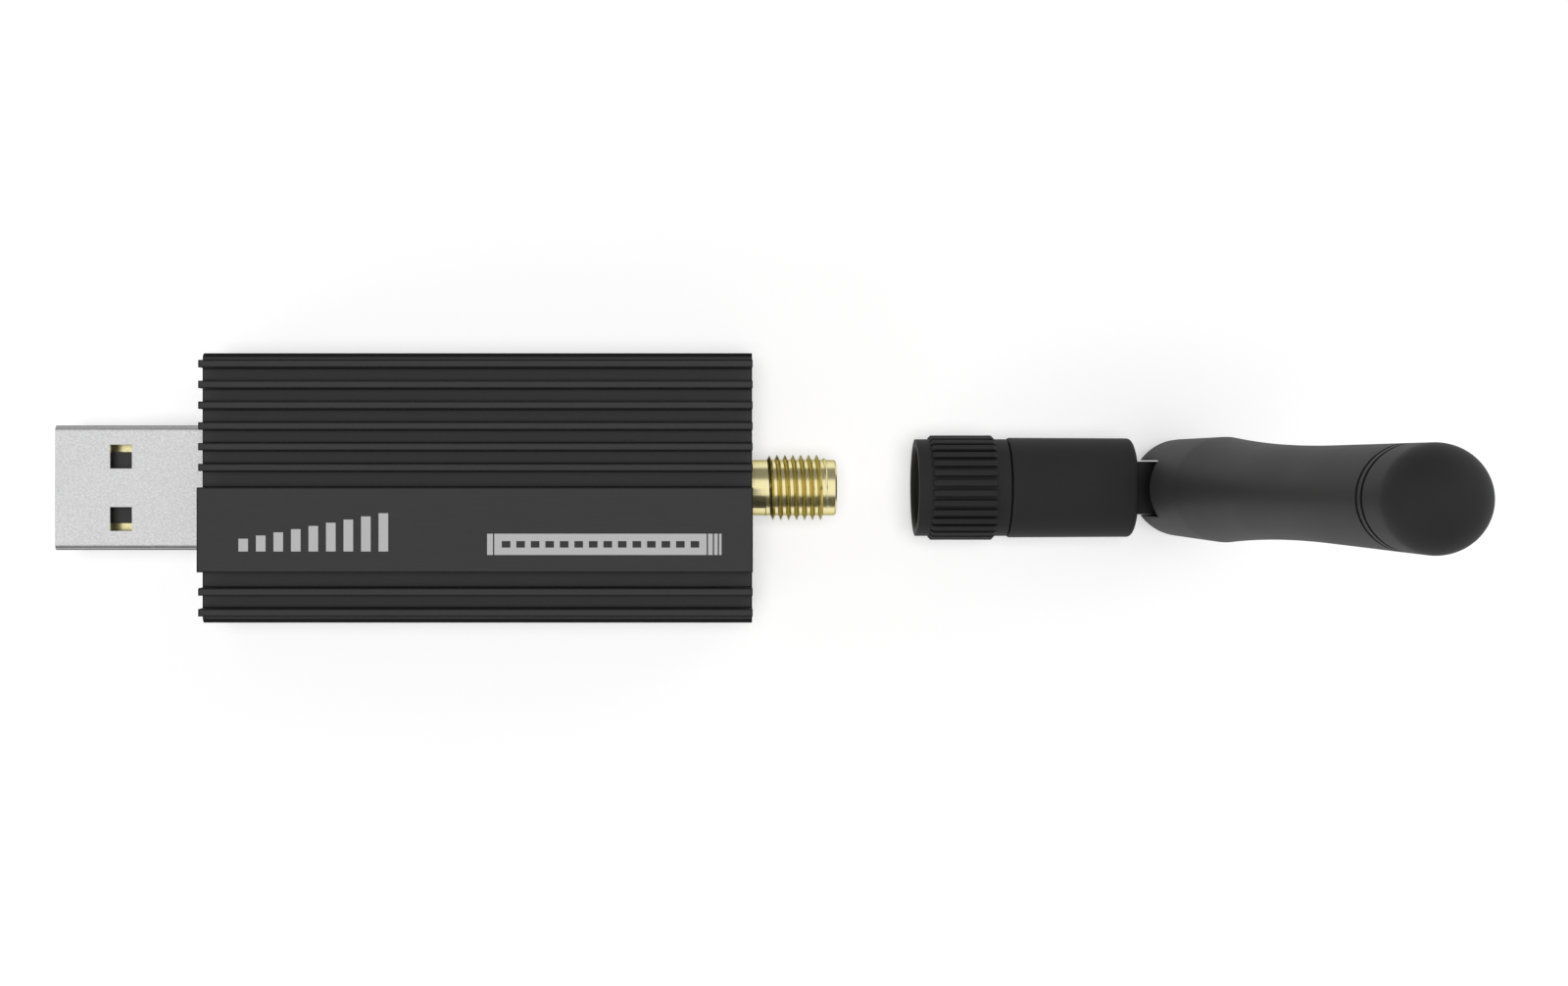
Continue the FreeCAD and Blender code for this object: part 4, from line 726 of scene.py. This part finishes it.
def threaded_socket(work, sizes):
    """Tube with a right-hand thread, its square flange and its four legs."""
    low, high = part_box("antenna_socket")
    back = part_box("circuit_board")[1][0]
    flange_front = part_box("socket_end_plate")[0][0]
    turns = [math.tau * step / sizes.segments for step in range(sizes.segments)]
    thread_end = high[0] - sizes.nose
    thread_start = thread_end - sizes.pitch * sizes.turns
    for ends in socket_ends(sizes, back, high[0], thread_start, thread_end):
        add_rows(work, [ring_at(x, circle(reach, turns)) for x, reach in ends])
    add_rows(work, helix_rows(sizes, thread_start, thread_end, turns), closed=False)
    bmesh.ops.remove_doubles(work, verts=work.verts, dist=MERGE)

    hole = circle(sizes.bore / 2 + WALL_LAP, turns)
    square = []
    for y, z in circle(1, turns):
        scale = sizes.flange / 2 / max(abs(y), abs(z))
        square.append((scale * y, scale * z))
    flange = ((back, hole), (back, square), (flange_front, square), (flange_front, hole), (back, hole))
    add_rows(work, [ring_at(x, outline) for x, outline in flange])
    bmesh.ops.remove_doubles(work, verts=work.verts, dist=MERGE)

    board_low, board_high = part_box("circuit_board")
    for side in (sizes.leg_side, -sizes.leg_side):
        for bottom in (board_high[2], board_low[2] - sizes.leg):
            near = (low[0], side - sizes.leg / 2, bottom)
            far = (back + LEG_LAP, side + sizes.leg / 2, bottom + sizes.leg)
            add_block(work, near, far)


# Mast and tip

def turned_upright(work, rows, segments):
    """Closed surface turned about the mast's axis, from an outline that starts and ends on that axis."""
    turns = [math.tau * step / segments for step in range(segments)]
    rings = []
    for radius, height in rows:
        rings.append([(HINGE.x + x, y, HINGE.z + height) for x, y in circle(radius, turns)])
    add_rows(work, rings)
    bmesh.ops.remove_doubles(work, verts=work.verts, dist=MERGE)


def mast_cover(work, sizes):
    """Mast with its round foot, waist and bore, before the fork's slot is cut."""
    low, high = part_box("mast")
    wide = (high[1] - low[1]) / 2
    narrow = (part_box("tip_cap")[1][1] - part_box("tip_cap")[0][1]) / 2
    seam = high[2] - HINGE.z
    run = sizes.slim - sizes.kink
    sweep = ((wide - narrow) ** 2 + run ** 2) / (2 * (wide - narrow))
    groove = seam - sizes.ring_width / 2
    corners = arc_rows((0, 0), wide, -math.pi / 2, 0, FOOT_STEPS)
    waist_start = math.pi + math.asin(run / sweep)
    corners += arc_rows((narrow + sweep, sizes.slim), sweep, waist_start, math.pi, WAIST_STEPS)
    corners += [
        (narrow, groove),
        (narrow - sizes.ring_depth, groove),
        (narrow - sizes.ring_depth, seam),
        (sizes.bore / 2, seam),
        (sizes.bore / 2, sizes.floor),
        (sizes.channel / 2, sizes.floor),
        (sizes.channel / 2, sizes.slot_ceiling / 2),
        (0, sizes.slot_ceiling / 2),
    ]
    turned_upright(work, close_rows(corners, sizes.row_space), sizes.segments)


def rounded_tip(work, sizes):
    """Tip with its spigot, the upper half of the seam's groove, a second groove and a round end."""
    low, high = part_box("tip_cap")
    wide = (high[1] - low[1]) / 2
    centre = high[2] - HINGE.z - wide
    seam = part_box("mast")[1][2] - HINGE.z
    ring = sizes.ring_width / 2
    bottom = wide - sizes.ring_depth
    plug = sizes.bore / 2 - SPIGOT_GAP
    corners = [
        (0, seam - sizes.spigot),
        (plug, seam - sizes.spigot),
        (plug, seam),
        (bottom, seam),
        (bottom, seam + ring),
        (wide, seam + ring),
        (wide, sizes.second_ring - ring),
        (bottom, sizes.second_ring - ring),
        (bottom, sizes.second_ring + ring),
        (wide, sizes.second_ring + ring),
    ]
    corners += arc_rows((0, centre), wide, 0, math.pi / 2, TIP_STEPS)
    turned_upright(work, close_rows(corners, sizes.row_space), sizes.segments)


def slot_cutter(work, sizes):
    """Room for the tongue: open below and towards the barrel, round behind the knuckle."""
    reach = sizes.slot_radius
    top = math.acos(sizes.slot_back / reach)
    outline = [(-OUTSIDE, -OUTSIDE), (reach, -OUTSIDE)]
    outline += arc_rows((0, 0), reach, 0, top, SLOT_STEPS)
    outline += [(sizes.slot_back, sizes.slot_ceiling), (-OUTSIDE, sizes.slot_ceiling)]
    side_prism(work, [(HINGE.x + x, HINGE.z + z) for x, z in outline], sizes.slot_width / 2)


def pin_cutter(work, sizes):
    """Round bore for the hinge pins, whose size comes from the frame."""
    low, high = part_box("hinge_pins")
    outline = arc_rows((HINGE.x, HINGE.z), (high[0] - low[0]) / 2, 0, math.tau, PIN_STEPS)[:-1]
    side_prism(work, outline, OUTSIDE)


def carve(piece, makers, sizes):
    """Cuts closed shapes out of a piece for good."""
    cutters = []
    for maker in makers:
        name = maker.__name__
        cutter = add_object(name, build_mesh(name, maker, sizes))
        cutters.append(cutter)
        modifier = piece.modifiers.new(name, "BOOLEAN")
        modifier.operation = "DIFFERENCE"
        modifier.solver = "EXACT"
        modifier.object = cutter
    graph = bpy.context.evaluated_depsgraph_get()
    carved = bpy.data.meshes.new_from_object(piece.evaluated_get(graph))
    if len(carved.polygons) <= len(piece.data.polygons) // 2:
        raise RuntimeError(f"carving {piece.name} left too little")
    piece.modifiers.clear()
    piece.data = carved
    carved.set_sharp_from_angle(angle=SHARP)
    for cutter in cutters:
        bpy.data.objects.remove(cutter)


# Operators

def looks(context):
    """Colours, and the wear and painted shade settings, as they are set."""
    return context.scene.stick_colours, context.scene.stick_wear


class RADIO_OT_case(Operator):
    """Finish the case and its end plates"""

    bl_idname = "radio_stick.case"
    bl_label = "Case"

    def execute(self, context):
        look, wear = looks(context)
        dress(extruded_black("case_black", look, wear), "case")
        dress(extruded_black("plate_black", look, wear), "plug_end_plate", "socket_end_plate")
        return {"FINISHED"}


class RADIO_OT_print(Operator):
    """Finish the print on the band"""

    bl_idname = "radio_stick.band_print"
    bl_label = "Band print"

    def execute(self, context):
        dress(screen_ink("band_ink", context.scene.stick_colours.ink), "band_print")
        return {"FINISHED"}


class RADIO_OT_screws(Operator):
    """Finish the end plates' screws"""

    bl_idname = "radio_stick.screws"
    bl_label = "Screws"

    def execute(self, context):
        look, wear = looks(context)
        dress(plated_steel("screw_steel", look.steel, 0.32, wear), "plug_end_screws", "socket_end_screws")
        return {"FINISHED"}


class RADIO_OT_plug(Operator):
    """Finish the plug's shell, its moulding and its contacts"""

    bl_idname = "radio_stick.plug"
    bl_label = "Plug"

    def execute(self, context):
        look, wear = looks(context)
        dress(plated_steel("plug_nickel", look.plug, 0.36, wear, look.plug_corner_shade), "usb_shell")
        dress(satin_plastic("plug_black", look.moulding, look.moulding, 0.5, wear), "plug_moulding")
        dress(plated_steel("contact_gold", look.gold, 0.22, wear), "usb_contacts")
        return {"FINISHED"}


class RADIO_OT_socket(Operator):
    """Build the socket with its thread, and finish its inside"""

    bl_idname = "radio_stick.socket"
    bl_label = "Socket"

    def execute(self, context):
        look, wear = looks(context)
        sizes = context.scene.thread_sizes
        gold = turned_metal("socket_gold", look.gold, look.metal_corner_shade, 0.22, wear)
        piece = new_piece("threaded_socket", threaded_socket, sizes, "stick", gold)
        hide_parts("antenna_socket")
        white = satin_plastic("socket_white", look.white, look.white, 0.4, wear, GLOSSY_SHINE)
        dress(white, "socket_insulator")
        contact = turned_metal("socket_contact_gold", look.gold, look.metal_corner_shade, 0.22, wear)
        dress(contact, "socket_contact")
        return {"FINISHED"}


class RADIO_OT_board(Operator):
    """Finish the circuit board and what is soldered to it"""

    bl_idname = "radio_stick.board"
    bl_label = "Circuit board"

    def execute(self, context):
        look = context.scene.board_colours
        wear = context.scene.stick_wear
        dress(board_lacquer("board_green", look.mask, look.tracks), "circuit_board")
        chips = "radio_chip", "range_amplifier", "usb_bridge_chip", "voltage_regulator", "surge_guard"
        dress(satin_plastic("chip_black", look.chip, look.chip_edge, 0.55, wear), *chips)
        for name, body, edge, rough, level, node in (
            ("resistor_black", look.resistor, look.resistor_edge, 0.35, GLOSSY_SHINE, "resistors"),
            ("capacitor_tan", look.capacitor, look.capacitor_edge, 0.5, GLOSSY_SHINE, "capacitors"),
            ("ferrite_grey", look.ferrite, look.ferrite_edge, 0.6, SATIN_SHINE, "inductors"),
            ("light_lens", look.lens, look.lens_edge, 0.15, GLOSSY_SHINE, "status_lights"),
        ):
            dress(satin_plastic(name, body, edge, rough, wear, level), node)
        dress(plated_steel("crystal_can", look.can, 0.3, wear), "crystals")
        return {"FINISHED"}


class RADIO_OT_coupling(Operator):
    """Finish the knurled sleeve, its nut and the spring ring"""

    bl_idname = "radio_stick.coupling"
    bl_label = "Coupling"

    def execute(self, context):
        look, wear = looks(context)
        sleeve = satin_plastic(
            "sleeve_black", look.plastic, look.plastic_edge, 0.56, wear, hollow_shade=look.plastic_hollow_shade
        )
        dress(sleeve, "knurled_sleeve")
        dress(turned_metal("nut_brass", look.brass, look.metal_corner_shade, 0.26, wear), "coupling_nut")
        dress(plated_steel("ring_steel", look.steel, 0.3, wear), "spring_ring")
        return {"FINISHED"}


class RADIO_OT_connector(Operator):
    """Finish the aerial's connector, its insulator and its pin"""

    bl_idname = "radio_stick.connector"
    bl_label = "Connector"

    def execute(self, context):
        look, wear = looks(context)
        dress(turned_metal("connector_brass", look.brass, look.metal_corner_shade, 0.26, wear), "connector_body")
        white = satin_plastic("connector_white", look.white, look.white, 0.4, wear, GLOSSY_SHINE)
        dress(white, "connector_insulator")
        dress(turned_metal("pin_gold", look.gold, look.metal_corner_shade, 0.2, wear), "centre_pin")
        return {"FINISHED"}


class RADIO_OT_aerial(Operator):
    """Finish the barrel, the mast, its cap and the hinge pins"""

    bl_idname = "radio_stick.aerial"
    bl_label = "Barrel and mast"

    def execute(self, context):
        look, wear = looks(context)
        dress(satin_plastic("barrel_black", look.plastic, look.plastic_edge, 0.56, wear), "barrel")
        black = satin_plastic("mast_black", look.plastic, look.plastic_edge, 0.53, wear)
        sizes = context.scene.mast_sizes
        cover = new_piece("mast_cover", mast_cover, sizes, "antenna_mast", black)
        carve(cover, (slot_cutter, pin_cutter), sizes)
        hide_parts("mast")
        tip = new_piece("rounded_tip", rounded_tip, sizes, "antenna_mast", black)
        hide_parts("tip_cap")
        dress(plated_steel("hinge_steel", look.steel, 0.3, wear), "hinge_pins")
        return {"FINISHED"}


class RADIO_OT_radiator(Operator):
    """Finish the radiator and the thin leads inside the aerial"""

    bl_idname = "radio_stick.radiator"
    bl_label = "Radiator and leads"

    def execute(self, context):
        look, wear = looks(context)
        brass = turned_metal("radiator_brass", look.brass, look.metal_corner_shade, 0.3, wear)
        dress(brass, "radiator_tube", "radiator_wire")
        inside = context.scene.board_colours
        brown = satin_plastic("lead_brown", inside.lead, inside.lead_edge, 0.35, wear, GLOSSY_SHINE)
        dress(brown, "lead_in_barrel", "lead_in_mast")
        return {"FINISHED"}


# Stage

def add_lamp(name, level, spread, turn, rise):
    """Wide soft lamp: a level of 1 lights a face towards it as it is written. Metal doesn't mirror it."""
    data = bpy.data.lights.new(name, "SUN")
    data.energy = level * math.pi
    data.angle = spread
    lamp = add_object(name, data)
    towards = Vector((math.cos(rise) * math.cos(turn), math.cos(rise) * math.sin(turn), math.sin(rise)))
    lamp.location = towards * LAMP_DISTANCE
    lamp.rotation_euler = towards.to_track_quat("Z", "Y").to_euler()
    lamp.visible_glossy = False


def background_share(tree, place):
    """1 where a camera, glossy or transmission ray looks, else 0."""
    column, row = place
    ray = put(tree, "ShaderNodeLightPath", place).outputs
    seen = arithmetic(tree, "MAXIMUM", (column + 1, row), ray["Is Camera Ray"], ray["Is Glossy Ray"])
    return arithmetic(tree, "MAXIMUM", (column + 2, row), seen, ray["Is Transmission Ray"])


def stage_material(name, base):
    """Matt material whose glow, once it has a strength, is white."""
    material, tree, shader = new_material(name)
    shader.inputs["Base Color"].default_value = (*base, 1)
    shader.inputs["Roughness"].default_value = MATT_ROUGHNESS
    shader.inputs["Specular IOR Level"].default_value = 0.0
    shader.inputs["Emission Color"].default_value = (1, 1, 1, 1)
    return material, tree, shader


def pale_floor(name, base, glow):
    """Matt floor that looks almost white and keeps soft shadows."""
    material, tree, shader = stage_material(name, base)
    seen = background_share(tree, (-5, 3))
    tree.links.new(arithmetic(tree, "MULTIPLY", (-2, 3), seen, glow), shader.inputs["Emission Strength"])
    return material


def add_grey_card(name, middle, level, stage):
    """Curved grey card beside the part: rounded metal mirrors it, and nothing else sees it."""
    turns = [middle + (step / CARD_STEPS - 0.5) * stage.card_spread for step in range(CARD_STEPS + 1)]
    outline = circle(stage.card_reach, turns)
    corners = [(x, y, height) for height in (0.0, stage.card_height) for x, y in outline]
    above = len(outline)
    faces = [(step, step + 1, above + step + 1, above + step) for step in range(CARD_STEPS)]
    mesh = bpy.data.meshes.new(name)
    mesh.from_pydata(corners, [], faces)
    material, _, shader = stage_material(name, (0, 0, 0))
    shader.inputs["Emission Strength"].default_value = level
    mesh.materials.append(material)
    card = add_object(name, mesh)
    card.visible_camera = False
    card.visible_diffuse = False
    card.visible_transmission = False
    card.visible_shadow = False


class RADIO_OT_stage(Operator):
    """Set the floor, the sky, the lamps and the camera"""

    bl_idname = "radio_stick.stage"
    bl_label = "Stage"

    def execute(self, context):
        scene = context.scene
        stage = scene.stage_sizes
        scene.view_settings.view_transform = "Standard"

        mesh = bpy.data.meshes.new("floor")
        reach = stage.floor_size / 2
        corners = [(-reach, -reach, 0), (reach, -reach, 0), (reach, reach, 0), (-reach, reach, 0)]
        mesh.from_pydata(corners, [], [(0, 1, 2, 3)])
        mesh.materials.append(pale_floor("pale_floor", stage.floor, stage.floor_glow))
        floor = add_object("floor", mesh)
        floor.location.z = -FLOOR_GAP

        world = bpy.data.worlds.new("soft_sky")
        world.use_nodes = True
        scene.world = world
        tree = world.node_tree
        sky = tree.nodes["Background"]
        sky.inputs["Color"].default_value = (1, 1, 1, 1)
        strength = remap(tree, (-1, 2), background_share(tree, (-5, 2)), wanted=(stage.sky, 1.0))
        tree.links.new(strength, sky.inputs["Strength"])

        add_lamp("overhead", stage.overhead, stage.overhead_spread, 0, math.pi / 2)
        for name, turn in (("near_side", stage.side_turn + math.pi), ("far_side", stage.side_turn)):
            add_lamp(name, stage.side, stage.side_spread, turn, stage.side_rise)
        add_grey_card("far_card", math.pi / 2, stage.far_card, stage)
        add_grey_card("near_card", -math.pi / 2, stage.near_card, stage)

        data = bpy.data.cameras.new("camera")
        data.lens = stage.focal
        data.shift_x = stage.shift_x
        data.shift_y = stage.shift_y
        data.clip_start = NEAREST_SEEN
        camera = add_object("camera", data)
        camera.location = (stage.camera_x, stage.camera_y, AXIS_HEIGHT + stage.camera_height)
        scene.camera = camera
        return {"FINISHED"}


class RADIO_PT_panel(Panel):
    """Lists the steps that dress the radio stick, and what a user may change"""

    bl_idname = "RADIO_PT_panel"
    bl_label = "Radio stick"
    bl_space_type = "VIEW_3D"
    bl_region_type = "UI"
    bl_category = "Radio stick"

    def draw(self, context):
        for step in STEPS:
            self.layout.operator(step.bl_idname)
        for label in GROUPS:
            group = getattr(context.scene, label)
            box = self.layout.box()
            for name in group.bl_rna.properties.keys():
                if name not in ("rna_type", "name"):
                    box.prop(group, name)


STEPS = (
    RADIO_OT_case,
    RADIO_OT_print,
    RADIO_OT_screws,
    RADIO_OT_plug,
    RADIO_OT_socket,
    RADIO_OT_board,
    RADIO_OT_coupling,
    RADIO_OT_connector,
    RADIO_OT_aerial,
    RADIO_OT_radiator,
    RADIO_OT_stage,
)
GROUPS = {
    "stick_colours": StickColours,
    "board_colours": BoardColours,
    "stick_wear": StickWearAndShade,
    "thread_sizes": ThreadSizes,
    "mast_sizes": MastSizes,
    "stage_sizes": StageSizes,
}


def register():
    for group in GROUPS.values():
        bpy.utils.register_class(group)
    for name, group in GROUPS.items():
        setattr(bpy.types.Scene, name, PointerProperty(type=group))
    for step in STEPS:
        bpy.utils.register_class(step)
    bpy.utils.register_class(RADIO_PT_panel)


def unregister():
    bpy.utils.unregister_class(RADIO_PT_panel)
    for step in reversed(STEPS):
        bpy.utils.unregister_class(step)
    for name in GROUPS:
        delattr(bpy.types.Scene, name)
    for group in GROUPS.values():
        bpy.utils.unregister_class(group)


def main():
    register()
    for step in STEPS:
        family, action = step.bl_idname.split(".")
        getattr(getattr(bpy.ops, family), action)()


if __name__ == "__main__":
    main()
